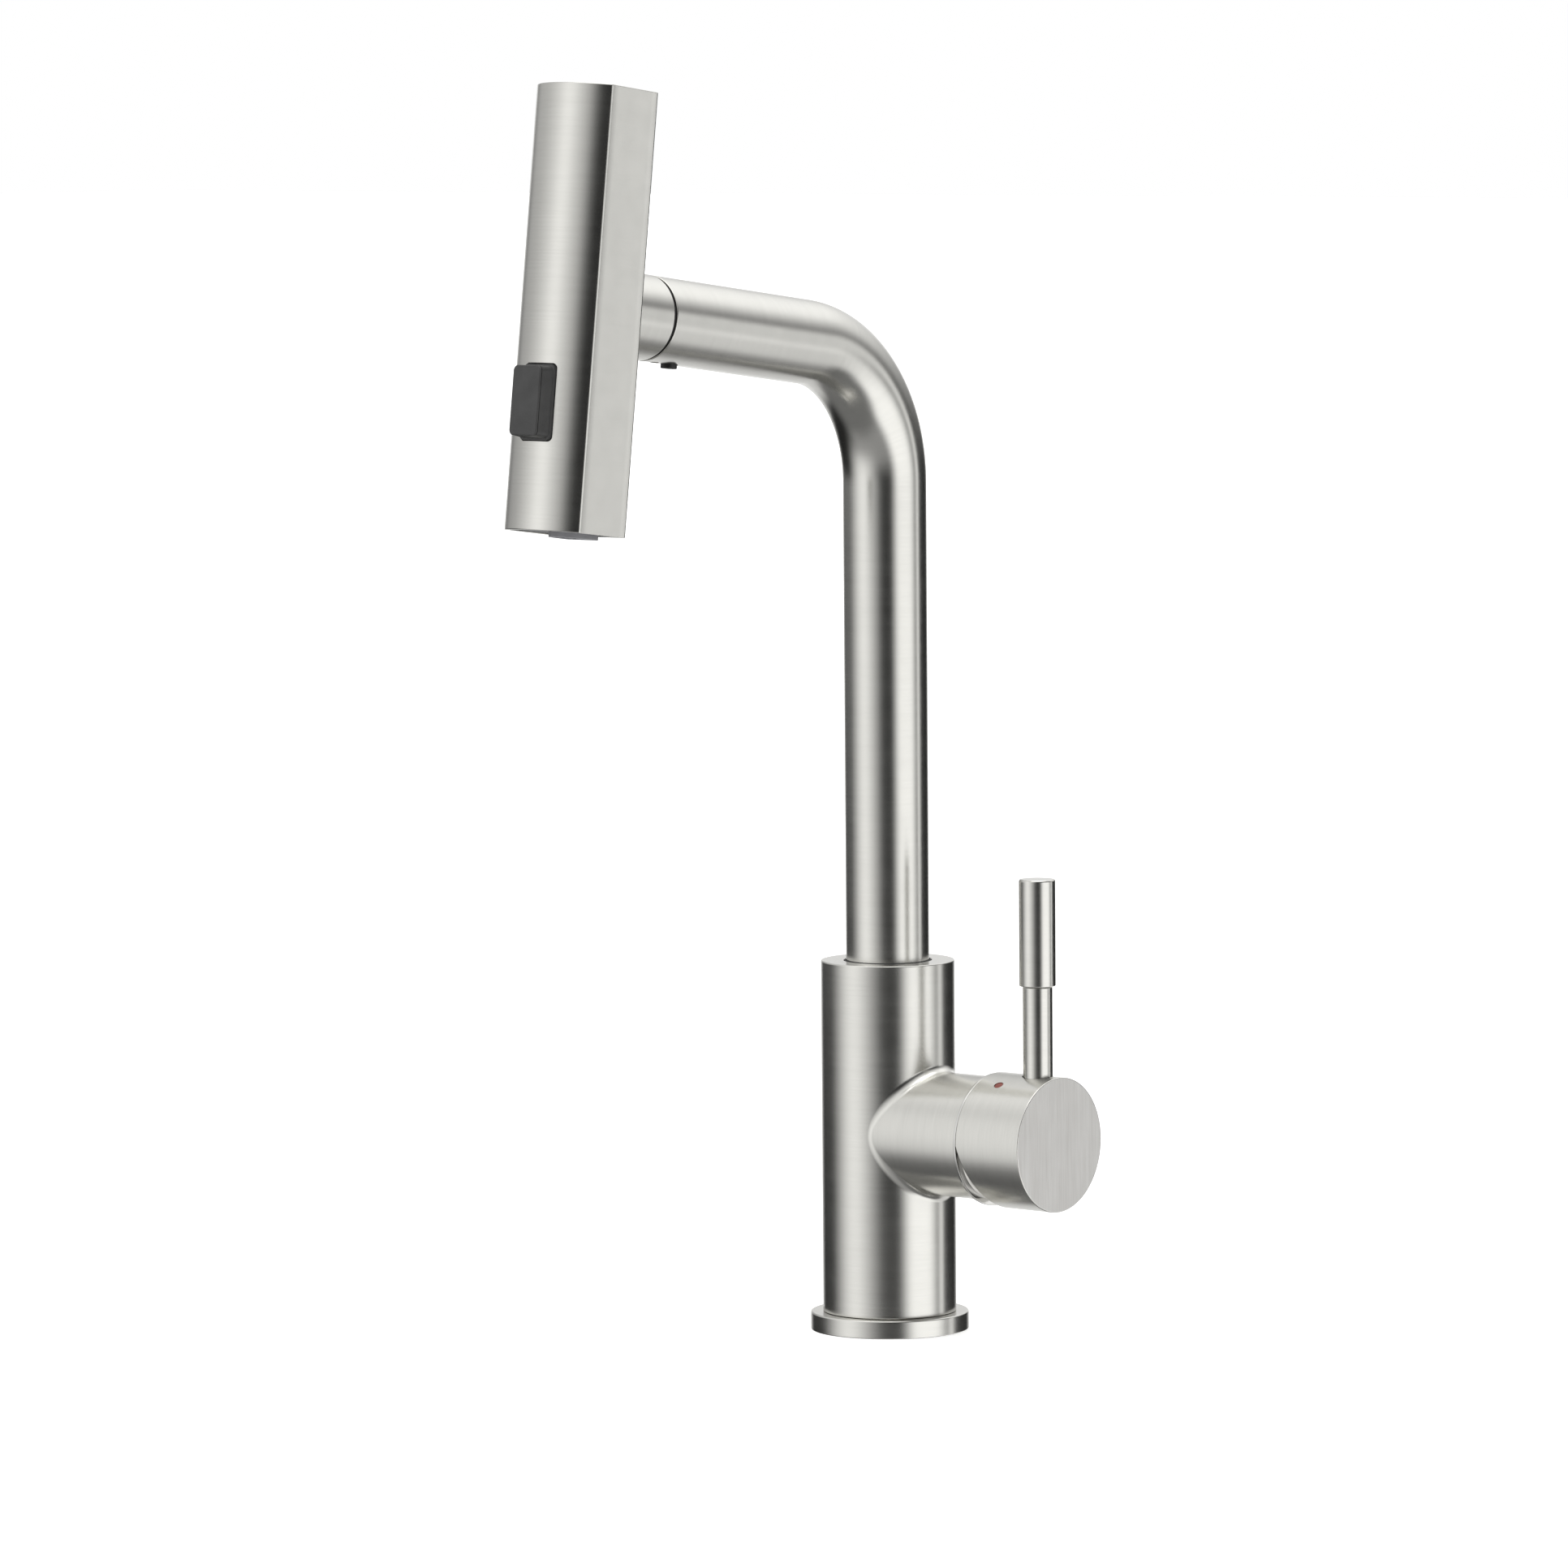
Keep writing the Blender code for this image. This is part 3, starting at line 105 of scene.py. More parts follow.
# Spout
SPOUT_R, SPOUT_BORE_R, SPOUT_BOTTOM, SPOUT_END = 15.55, 14.05, 109.5, 136.0
BEND_R, TILT, SPOUT_AXIS_Z = 53.7, math.radians(7.25), 365.2
BEND_TURN = math.pi / 2 - TILT
BEND_REACH = BEND_R * math.tan(BEND_TURN / 2)
BEND_START = SPOUT_AXIS_Z - BEND_REACH
BEND_STOP = BEND_START + BEND_R * BEND_TURN
PLUG_AT, PLUG_R, PLUG_TOP = 121.0, 3.0, 17.05
GRUB_AT, GRUB_R = 130.5, 2.3
DOCK_FLOOR = 11.3
DOCK_BORE_R, DOCK_WAY_R, DOCK_BACK, DOCK_STEP = 10.3, 7.4, 112.0, 118.0
SEAL_R, SEAL_BORE_R, SEAL_START, SEAL_END = 15.2, 12.0, 136.3, 137.1

# Neck, hose and spray head
NECK_START, NECK_END = 137.4, 157.65
SPIGOT_OUT_R, SPIGOT_BORE_R, SPIGOT_START = 10.0, 7.2, 118.6   # spigot that enters the dock
NECK_POCKET_R, NECK_POCKET = 12.6, 139.5
HOSE_R, HOSE_LOW, HOSE_END = 5.5, 24.0, 135.0
STRETCH_START, STRETCH_END, PULL = 50.0, 134.0, 250.0
HEAD_BACK, HALF_WIDE, SIDE_END, ARC_R = 157.95, 17.95, 182.85, 24.75
HEAD_TOP, HEAD_BOTTOM, HEAD_WALL, HEAD_ROOF = 78.5, -80.6, 1.5, 2.0
BUTTON_MID = -35.2
BUTTON_BASE, BUTTON_FACE = (14.2, 27.2), (13.0, 25.0)
BUTTON_BACK, BUTTON_SHOULDER, BUTTON_FRONT = 185.3, 190.6, 197.4
BUTTON_TAPER, BUTTON_CORNER_R = np.array([0.25, 0.4]), 1.9
BUTTON_POCKET, BUTTON_POCKET_DEEP, BUTTON_LIP, BUTTON_LIP_THICK = 0.66, 2.4, 0.9, 1.3
CROWN_HIGH, CROWN = 0.2, (0.96, 0.85, 0.7, 0.5, 0.35)
INLET_R = 9.4
NOZZLE_HALF, NOZZLE_BACK, NOZZLE_MID = 7.6, 160.6, 167.8
NOZZLE_SHOWS, NOZZLE_TALL, NOZZLE_WALL = 1.4, 5.4, 1.1

X, Y, Z = np.eye(3)
OUT = np.array([0.0, -math.cos(TILT), math.sin(TILT)])      # out along the spout end
UP = np.array([0.0, math.sin(TILT), math.cos(TILT)])        # up across the spout end


def axes(origin, a, b, h):
    """A local frame: its origin in millimetres and the world directions of a, b and h."""
    return np.array(origin, float), np.array([a, b, h])


DECK = axes((0, 0, 0), X, Y, Z)
BRANCH = axes((0, 0, AXIS_Z), Y, Z, X)
LEVER = axes((LEVER_X, 0, 0), X, Y, Z)
REACH = axes((0, 0, SPOUT_AXIS_Z), X, UP, OUT)
HEAD = axes((0, 0, SPOUT_AXIS_Z), X, OUT, UP)


def local(points, place):
    """World points in metres as local (a, b, h) in millimetres."""
    origin, rows = place
    return (points / MM - origin) @ rows.T


def world(points, place):
    """Local (a, b, h) in millimetres as world points in metres."""
    origin, rows = place
    return (points @ rows + origin) * MM


# ---------------------------------------------------------------- profiles and surfaces

def soften(corners, steps=6, margin=0.12):
    """A closed profile with eased corners.  A row is (across, along, radius): each corner becomes a
    curve (1-s)^2 P + 2s(1-s) C + s^2 Q between the points P and Q one tangent length from the
    corner C, and one more point stands a margin beyond each, so that flats stay flat in shading."""
    table = np.array(corners, float)
    spot, radius = table[:, None, :2], table[:, 2:, None]
    before = np.roll(spot, 1, 0) - spot
    after = np.roll(spot, -1, 0) - spot
    before /= np.linalg.norm(before, axis=2, keepdims=True)
    after /= np.linalg.norm(after, axis=2, keepdims=True)
    half = np.arccos(np.clip((before * after).sum(2, keepdims=True), -1, 1)) / 2
    length = radius / np.tan(half)
    beyond = length + margin * (radius > 0)
    s = np.linspace(0, 1, steps)[None, :, None]
    curve = spot + before * length * (1 - s) ** 2 + after * length * s ** 2
    rows = np.concatenate([spot + before * beyond, curve, spot + after * beyond], 1).reshape(-1, 2)
    return rows[np.linalg.norm(rows - np.roll(rows, 1, 0), axis=1) > 1e-6]


def opened(corners, **how):
    """An open profile with eased corners: its first and last rows are left as they are."""
    rows = soften(corners, **how)
    start = np.flatnonzero(np.all(np.isclose(rows, np.array(corners[0][:2], float)), 1))[0]
    return np.roll(rows, -start, 0)


def refine(profile, step, closed=True):
    """The same profile with extra points, so that no two are much further apart than the step."""
    rows = np.vstack([profile, profile[:1]]) if closed else profile
    length = np.r_[0, np.cumsum(np.linalg.norm(np.diff(rows, axis=0), axis=1))]
    extra = np.arange(step, length[-1], step)
    gap = np.abs(extra[:, None] - length[None, :]).min(1)
    at = np.sort(np.r_[length, extra[gap > step / 3]])
    rows = np.column_stack([np.interp(at, length, rows[:, i]) for i in (0, 1)])
    return rows[:-1] if closed else rows


def surface(name, grid, place, ring=True):
    """A closed skin over a grid of local points (row, column).  Columns always close on themselves;
    rows close too for a ring, or else the first and last rows are closed with flat faces."""
    rows, columns = grid.shape[:2]
    number = np.arange(rows * columns).reshape(rows, columns)
    if ring:
        number = np.vstack([number, number[:1]])
    right = np.roll(number, -1, 1)
    quads = np.stack([number[:-1], right[:-1], right[1:], number[1:]], -1).reshape(-1, 4)
    faces = quads.tolist()
    if not ring:
        faces += [number[0][::-1].tolist(), number[-1].tolist()]
    mesh = bpy.data.meshes.new(name)
    mesh.from_pydata(world(grid.reshape(-1, 3), place).tolist(), [], faces)
    shape = bmesh.new()
    shape.from_mesh(mesh)
    bmesh.ops.recalc_face_normals(shape, faces=shape.faces)
    shape.to_mesh(mesh)
    shape.free()
    piece = bpy.data.objects.new(name, mesh)
    bpy.context.scene.collection.objects.link(piece)
    return piece


def turned_grid(profile, columns):
    """(r, h) rows turned round the h axis: (r cos t, r sin t, h)."""
    t = np.arange(columns) * math.tau / columns
    r, h = profile[:, :1], profile[:, 1:]
    return np.stack([r * np.cos(t), r * np.sin(t), h + 0 * t], -1)


def turned(name, corners, place, columns=ROUND, step=6.0, ring=True, **how):
    """A turned piece with eased edges."""
    profile = soften(corners, **how) if ring else opened(corners, **how)
    return surface(name, turned_grid(refine(profile, step, ring), columns), place, ring)


def bar(name, radius, low, high, place, columns=48):
    """A plain round cutter."""
    profile = np.array([(radius, low), (radius, high)], float)
    return surface(name, turned_grid(profile, columns), place, ring=False)


def rounded_box(name, half, radius, low, high, place, columns=64):
    """A cutter with a rounded rectangular section, see rounded_outline."""
    outline = rounded_outline(half, radius, columns)
    rows = [np.column_stack([outline, np.full(columns, h)]) for h in (low, high)]
    return surface(name, np.array(rows), place, ring=False)


def rounded_outline(half, radius, columns):
    """A rounded rectangle: at angle t, each quarter is its corner centre plus radius (cos t, sin t)."""
    quarter = columns // 4
    t = (np.arange(columns) % quarter) / (quarter - 1) * math.pi / 2 \
        + np.arange(columns) // quarter * math.pi / 2
    side = np.arange(columns) // quarter
    sign_a = np.where((side == 0) | (side == 3), 1.0, -1.0)
    sign_b = np.where(side < 2, 1.0, -1.0)
    a = sign_a * (half[0] - radius) + radius * np.cos(t)
    b = sign_b * (half[1] - radius) + radius * np.sin(t)
    return np.column_stack([a, b])


def cut(piece, *tools):
    """Takes each tool away from the piece for good, and throws the tools away."""
    for tool in tools:
        step = piece.modifiers.new("cut", "BOOLEAN")
        step.operation = "DIFFERENCE"
        step.solver = "EXACT"
        step.object = tool
    depsgraph = bpy.context.evaluated_depsgraph_get()
    result = bpy.data.meshes.new_from_object(piece.evaluated_get(depsgraph))
    piece.modifiers.clear()
    old, piece.data = piece.data, result
    bpy.data.meshes.remove(old)
    for tool in tools:
        bpy.data.objects.remove(tool)
    return piece


# ---------------------------------------------------------------- grain and finishing

def points_of(piece):
    """The vertices of a piece as an array of world points."""
    flat = np.empty(len(piece.data.vertices) * 3)
    piece.data.vertices.foreach_get("co", flat)
    return flat.reshape(-1, 3)


def turned_grain(points, place):
    """Grain of a turned piece: (a, b, h - r), so the last one runs along sides and across faces."""
    a, b, h = local(points, place).T
    return np.column_stack([a, b, h - np.hypot(a, b)])


def drawn_grain(points):
    """Grain of the bent tube: (a, b, s), where s is the length along its centreline.  s is the height
    on the column, the bend radius times the angle in the bend, and the reach beyond it."""
    x, y, z = (points / MM).T
    angle = np.arctan2(z - BEND_START, y + BEND_R)
    a, b, h = local(points, REACH).T
    in_bend = BEND_START + BEND_R * angle
    beyond = BEND_STOP + h - BEND_REACH
    s = np.where(z < BEND_START, z, np.where(angle < BEND_TURN, in_bend, beyond))
    out = np.where(z < BEND_START, y, np.where(angle < BEND_TURN,
                   np.hypot(z - BEND_START, y + BEND_R) - BEND_R, b))
    return np.column_stack([x, out, s])


def straight_grain(points, place):
    """Grain of a straight piece: its local place."""
    return local(points, place)


def finish(piece, body, slot, nodes, grain, *materials):
    """Shades the piece, stores its grain in metres, gives it its materials and hangs it on a body."""
    mesh = piece.data
    mesh.shade_smooth()
    mesh.set_sharp_from_angle(angle=SMOOTH_ANGLE)
    stored = mesh.attributes.new("grain", "FLOAT_VECTOR", "POINT")
    stored.data.foreach_set("vector", (grain * MM).astype(np.float32).ravel())
    mesh.materials.clear()
    for material in materials:
        mesh.materials.append(material)
    if nodes:
        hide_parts(*nodes)
    if body:
        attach(piece, body)
    return piece


# ---------------------------------------------------------------- materials

def linear(code):
    """An sRGB hex colour as linear RGBA."""
    value = np.array([int(code[i:i + 2], 16) for i in (1, 3, 5)]) / 255
    value = np.where(value <= 0.04045, value / 12.92, ((value + 0.055) / 1.055) ** 2.4)
    return (*value.tolist(), 1.0)


def add(tree, kind, inputs=(), **settings):
    """Adds a node: settings are its properties, inputs are (socket, value or output) pairs."""
    node = tree.nodes.new(kind)
    for key, value in settings.items():
        setattr(node, key, value)
    for socket, value in inputs:
        if isinstance(value, bpy.types.NodeSocket):
            tree.links.new(value, node.inputs[socket])
        else:
            node.inputs[socket].default_value = value
    return node


def blank(name):
    """A new material with its Principled shader."""
    material = bpy.data.materials.new(name)
    material.use_nodes = True
    return material, material.node_tree, material.node_tree.nodes["Principled BSDF"]


def shades(tree, factor, *stops):
    """A colour ramp over (position, hex colour) stops."""
    ramp = add(tree, "ShaderNodeValToRGB", [("Fac", factor)])
    line = ramp.color_ramp
    line.elements[0].position, line.elements[0].color = stops[0][0], linear(stops[0][1])
    line.elements[1].position, line.elements[1].color = stops[-1][0], linear(stops[-1][1])
    for position, code in stops[1:-1]:
        line.elements.new(position).color = linear(code)
    return ramp.outputs["Color"]


def spread(tree, factor, low, high):
    """A factor from 0 to 1 spread from low to high."""
    return add(tree, "ShaderNodeMapRange", [("Value", factor), ("To Min", low), ("To Max", high)]
               ).outputs["Result"]


def noise_on(tree, source, stretch, detail=2.0, roughness=0.5):
    """Noise whose cells are 1 / stretch wide, in metres, on a vector."""
    mapped = add(tree, "ShaderNodeMapping", [("Vector", source), ("Scale", stretch)])
    return add(tree, "ShaderNodeTexNoise", [("Vector", mapped.outputs["Vector"]), ("Scale", 1.0),
                                            ("Detail", detail), ("Roughness", roughness)]
               ).outputs["Fac"]


def brushed_steel(name, tone, roughness, pitch=0.45, run=14.0, depth=0.004, fine=2, patch=1.0):
    """Stainless steel brushed with an abrasive belt while it turned: fine lines run round it.
    pitch is the spacing of the lines and run their length in millimetres.  Real lines are about
    0.1 mm apart; they are drawn about four times as coarse, so that they show.  The lines spread each
    reflection along the piece, and broad soft patches vary its gloss, as hand polishing does."""
    material, tree, shader = blank(name)
    grain = add(tree, "ShaderNodeAttribute", attribute_name="grain").outputs["Vector"]
    across, along = 1 / (pitch * MM), 1 / (run * MM)
    wide = 1 / (9.0 * MM)
    lines = noise_on(tree, grain, [across if i == fine else along for i in range(3)], 3.0, 0.6)
    bands = noise_on(tree, grain, [across / 7 if i == fine else along / 2 for i in range(3)], 1.0)
    patches = noise_on(tree, grain, (wide * patch,) * 3, 2.0)
    mixed = add(tree, "ShaderNodeMix", [("Factor", 0.35), ("A", lines), ("B", bands)],
                data_type="FLOAT").outputs["Result"]
    dark, light = tone
    colour = shades(tree, mixed, (0.25, dark), (0.75, light))
    tree.links.new(colour, shader.inputs["Base Color"])
    gloss = add(tree, "ShaderNodeMix", [("Factor", 0.5), ("A", mixed), ("B", patches)],
                data_type="FLOAT").outputs["Result"]
    tree.links.new(spread(tree, gloss, roughness - 0.05, roughness + 0.05),
                   shader.inputs["Roughness"])
    bump = add(tree, "ShaderNodeBump", [("Height", lines), ("Strength", 1.0),
                                        ("Distance", depth * MM)])
    tree.links.new(bump.outputs["Normal"], shader.inputs["Normal"])
    shader.inputs["Metallic"].default_value = 1.0
    return material


def moulded(name, dark, light, roughness, grain=0.35, depth=0.012, ior=1.5):
    """Moulded plastic or rubber from a spark eroded tool: a fine even grain and slight colour drift.
    grain is the width of its cells in millimetres."""
    material, tree, shader = blank(name)
    place = add(tree, "ShaderNodeTexCoord").outputs["Object"]
    cells = noise_on(tree, place, (1 / (grain * MM),) * 3, 2.0)
    drift = noise_on(tree, place, (1 / (6 * MM),) * 3, 2.0)
    tree.links.new(shades(tree, drift, (0.3, dark), (0.7, light)), shader.inputs["Base Color"])
    tree.links.new(spread(tree, cells, roughness - 0.06, roughness + 0.06),
                   shader.inputs["Roughness"])
    bump = add(tree, "ShaderNodeBump", [("Height", cells), ("Distance", depth * MM)])
    tree.links.new(bump.outputs["Normal"], shader.inputs["Normal"])
    shader.inputs["IOR"].default_value = ior
    return material


def plain_metal(name, dark, light, roughness, pitch=0.5):
    """Machined metal on inner parts: faint turning lines and soft stains in the tone."""
    material, tree, shader = blank(name)
    place = add(tree, "ShaderNodeTexCoord").outputs["Object"]
    lines = noise_on(tree, place, (1 / (8 * MM), 1 / (8 * MM), 1 / (pitch * MM)), 2.0)
    stain = noise_on(tree, place, (1 / (5 * MM),) * 3, 3.0)
    tree.links.new(shades(tree, stain, (0.3, dark), (0.7, light)), shader.inputs["Base Color"])
    tree.links.new(spread(tree, lines, roughness - 0.08, roughness + 0.08),
                   shader.inputs["Roughness"])
    bump = add(tree, "ShaderNodeBump", [("Height", lines), ("Distance", 0.004 * MM)])
    tree.links.new(bump.outputs["Normal"], shader.inputs["Normal"])
    shader.inputs["Metallic"].default_value = 1.0
    return material


def braided_sheath():
    """Braided nylon hose sheath: strands wound both ways, about 1.2 mm wide, matt and soft.
    The grain's last number is the length along the hose when it is pulled right out."""
    material, tree, shader = blank("braided nylon sheath")
    grain = add(tree, "ShaderNodeAttribute", attribute_name="grain").outputs["Vector"]
    part = add(tree, "ShaderNodeSeparateXYZ", [("Vector", grain)])
    strands = []
    for hand in (1.0, -1.0):
        turn = add(tree, "ShaderNodeMath", [(0, part.outputs["X"]), (1, hand)],
                   operation="MULTIPLY").outputs[0]
        slant = add(tree, "ShaderNodeMath", [(0, part.outputs["Z"]), (1, turn)],
                    operation="ADD").outputs[0]
        wave = add(tree, "ShaderNodeMath", [(0, slant), (1, math.tau / (1.44 * MM))],
                   operation="MULTIPLY").outputs[0]
        strands.append(add(tree, "ShaderNodeMath", [(0, wave)], operation="SINE").outputs[0])
    weave = add(tree, "ShaderNodeMath", [(0, strands[0]), (1, strands[1])],
                operation="MAXIMUM").outputs[0]
    height = add(tree, "ShaderNodeMapRange", [("Value", weave), ("From Min", -1.0)]).outputs["Result"]
    tree.links.new(shades(tree, height, (0.2, "#3f3f42"), (0.9, "#77777b")),
                   shader.inputs["Base Color"])
    bump = add(tree, "ShaderNodeBump", [("Height", height), ("Distance", 0.15 * MM)])
    tree.links.new(bump.outputs["Normal"], shader.inputs["Normal"])
    shader.inputs["Roughness"].default_value = 0.7
    return material


STEEL_TONE = ("#d8d7d2", "#e0dfda")
tube_steel = brushed_steel("belt brushed stainless steel", STEEL_TONE, 0.24)
handle_steel = brushed_steel("fine brushed stainless steel", STEEL_TONE, 0.23, pitch=0.4, run=10.0)
# The cap's end face is the same steel with a lighter tone than STEEL_TONE: painted light for the
# brighter look of the face.
brightened_face_steel = brushed_steel("straight brushed stainless steel", ("#dedcd8", "#f6f5f2"), 0.3, run=22.0,
                           pitch=0.5, fine=0, depth=0.007)
head_steel = brushed_steel("satin brushed stainless steel", STEEL_TONE, 0.21, run=18.0)
bright_steel = brushed_steel("polished stainless steel", ("#d6d5d2", "#e2e1de"), 0.14, depth=0.0015)
charcoal = moulded("charcoal ABS plastic", "#353535", "#3d3d3d", 0.46)
# Near black tone for the grey bushing: painted shade for the dark gap round the foot of the spout.
bushing_painted_dark = moulded("grey acetal plastic painted near black as shade", "#29292b", "#323234", 0.45)
nozzle_grey = moulded("grey acetal plastic", "#77777a", "#808083", 0.45)
nozzle_silicone = moulded("grey silicone rubber", "#5b5d60", "#66686b", 0.62, grain=0.5)
black_nylon = moulded("black nylon plastic", "#161616", "#1d1d1d", 0.45)
black_epdm = moulded("black EPDM rubber", "#101010", "#171717", 0.72, grain=0.5)
white_acetal = moulded("white acetal plastic", "#dcdcd8", "#e6e6e2", 0.42)
ceramic = moulded("lapped alumina ceramic", "#e6e4da", "#efede4", 0.2, grain=0.2, depth=0.002, ior=1.76)
enamel = moulded("dull red enamel", "#803c33", "#8d4539", 0.42, grain=0.6, depth=0.004)
spring_wire = plain_metal("stainless spring steel", "#8f8f8e", "#a2a2a0", 0.34)
brass = plain_metal("machined brass", "#c09a5c", "#d2ac6c", 0.33)
sheath = braided_sheath()

SLOT_FINISH = {
    "body_finish": tube_steel, "handle_finish": handle_steel, "head_finish": head_steel,
    "bonnet_finish": bright_steel, "spring_steel": spring_wire, "machined_brass": brass,
    "alumina": ceramic, "charcoal_plastic": charcoal, "black_plastic": black_nylon,
    "grey_plastic": nozzle_grey, "white_plastic": white_acetal, "black_rubber": black_epdm,
    "grey_silicone": nozzle_silicone, "red_enamel": enamel, "hose_sheath": sheath,
}


def paint_frame():
    """Gives every CAD node that still shows the finish of its slot."""
    for row in frame["record"]["subparts"]:
        node = frame["nodes"][row["node"]]
        node.data.materials.clear()
        node.data.materials.append(SLOT_FINISH[row["material_slot"]])


# ---------------------------------------------------------------- base and body

def make_base():
    """Deck flange: a low turned ring with an eased rim and a groove for its gasket."""
    flange = turned("deck_flange", [
        (FLANGE_BORE_R, FLANGE_TOP, 0.2), (FLANGE_R, FLANGE_TOP, 0.55), (FLANGE_R, 0.0, 0.35),
        (GROOVE_OUT_R, 0.0, 0.1), (GROOVE_OUT_R, GROOVE_DEEP, 0.1),
        (GROOVE_IN_R, GROOVE_DEEP, 0.1), (GROOVE_IN_R, 0.0, 0.1),
        (FLANGE_BORE_R, 0.0, 0.1)], DECK)
    finish(flange, "body", "body_finish", ["base_flange"], turned_grain(points_of(flange), DECK),
           tube_steel)


def make_body():
    """Body tube with its lid, open to the branch."""
    tube = turned("body_tube", [
        (LID_HOLE_R, BODY_TOP, 0.35), (BODY_R, BODY_TOP, 0.45), (BODY_R, BODY_LOW, 0.3),
        (BODY_BORE_R, BODY_LOW, 0.2), (BODY_BORE_R, LID_BOTTOM, 0.1),
        (LID_HOLE_R, LID_BOTTOM, 0.2)], DECK, step=4.0)
    cut(tube, bar("branch way", BRANCH_BORE_R, BRANCH_BACK, 30.0, BRANCH))
    finish(tube, "body", "body_finish", ["body_shell"], turned_grain(points_of(tube), DECK),
           tube_steel)


def make_branch():
    """Branch for the valve, welded to the body.  A ball of radius w rolls along the line where
    the two tubes meet, and swells towards the sides: w = WELD_R + WELD_MORE cos(t)^2.  Its centre is
    (sqrt((R + w)^2 - y^2), y, z) with (y, z) at radius r + w, and the skin swings round that centre
    from the body's side to the branch's side."""
    t = np.arange(ROUND) * math.tau / ROUND
    round_out = np.column_stack([np.cos(t), np.sin(t)])
    weld = (WELD_R + WELD_MORE * np.cos(t) ** 2)[:, None]
    y, z = ((BRANCH_R + weld) * round_out).T
    centre = np.column_stack([y, z, np.sqrt((BODY_R + weld[:, 0]) ** 2 - y ** 2)])
    to_body = -np.column_stack([y, 0 * y, centre[:, 2]]) / (BODY_R + weld)
    to_branch = -np.column_stack([round_out, 0 * y])
    swing = np.arccos((to_body * to_branch).sum(1))[None, :, None]
    s = (0.5 - 0.5 * np.cos(np.linspace(0, math.pi, 15)))[:, None, None]
    hollow = centre + weld * (np.sin((1 - s) * swing) * to_body
                                + np.sin(s * swing) * to_branch) / np.sin(swing)
    buried = centre + to_body * (weld + 1.6)
    mouth = soften([(BRANCH_R, BRANCH_BACK, 0), (BRANCH_R, BRANCH_END, 0.3),
                    (BRANCH_BORE_R, BRANCH_END, 0.2), (BRANCH_BORE_R, BRANCH_BACK, 0)])
    mouth = np.roll(mouth, -int(np.argmin(np.abs(mouth - mouth[0]).sum(1))), 0)
    start = int(np.flatnonzero(np.all(np.isclose(mouth, (BRANCH_R, BRANCH_BACK)), 1))[0])
    mouth = np.roll(mouth, -start, 0)[1:]
    rim = turned_grid(mouth, ROUND)
    last = hollow[-1:]
    share = np.linspace(0, 1, 8)[1:-1, None, None]
    straight = last + (rim[:1] - last) * share
    grid = np.concatenate([buried[None], hollow, straight, rim])
    branch = surface("handle_branch", grid, BRANCH)
    finish(branch, "body", "body_finish", ["body_shell"], turned_grain(points_of(branch), BRANCH),
           tube_steel)


def make_bushing():
    """Plastic bushing in the top of the body, given a near black tone in place of its grey: painted
    shade, so that a thin dark line shows round the foot of the spout.
    """
    bore, lip, outer = SPOUT_R + 0.3, LID_HOLE_R - 0.3, BODY_BORE_R - 0.3
    bushing = turned("spout_bushing", [
        (bore, BUSHING_TOP, 0.12), (lip, BUSHING_TOP, 0.12), (lip, LID_BOTTOM - 0.3, 0.1),
        (outer, LID_BOTTOM - 0.3, 0.2), (outer, BUSHING_BOTTOM, 0.2),
        (bore, BUSHING_BOTTOM, 0.1)], DECK, step=8.0, margin=0.03)
    finish(bushing, "body", "grey_plastic", ["top_bushing"],
           turned_grain(points_of(bushing), DECK), bushing_painted_dark)


# ---------------------------------------------------------------- handle

def make_bonnet():
    """Bright ring at the end of the branch: a rim, then a ball shaped sleeve under the cap."""
    first = math.acos((BONNET_RIM_END - PIVOT_X) / BALL_R)
    last = math.acos((BALL_END - PIVOT_X) / BALL_R)
    a = np.linspace(first, last, 14)
    ball = np.column_stack([BALL_R * np.sin(a), PIVOT_X + BALL_R * np.cos(a)])
    inner = np.array([(ball[-1, 0] - BALL_WALL, BALL_END), (SLEEVE_BORE_R, PIVOT_X),
                      (SLEEVE_BORE_R, SLEEVE_STEP), (SLEEVE_STEP_R, SLEEVE_STEP),
                      (SLEEVE_STEP_R, BONNET_START)])
    rim = soften([(SLEEVE_STEP_R, BONNET_START, 0), (BONNET_R, BONNET_START, 0.2),
                  (BONNET_R, BONNET_RIM_END, 0.25), (RIM_TURN_R, BONNET_RIM_END, 0)])
    rim = rim[rim[:, 0] > RIM_KEPT_R]
    profile = np.vstack([rim, ball, inner])
    bonnet = surface("bonnet_sleeve", turned_grid(profile, ROUND), BRANCH)
    finish(bonnet, "body", "bonnet_finish", ["bonnet_ring"],
           turned_grain(points_of(bonnet), BRANCH), bright_steel)


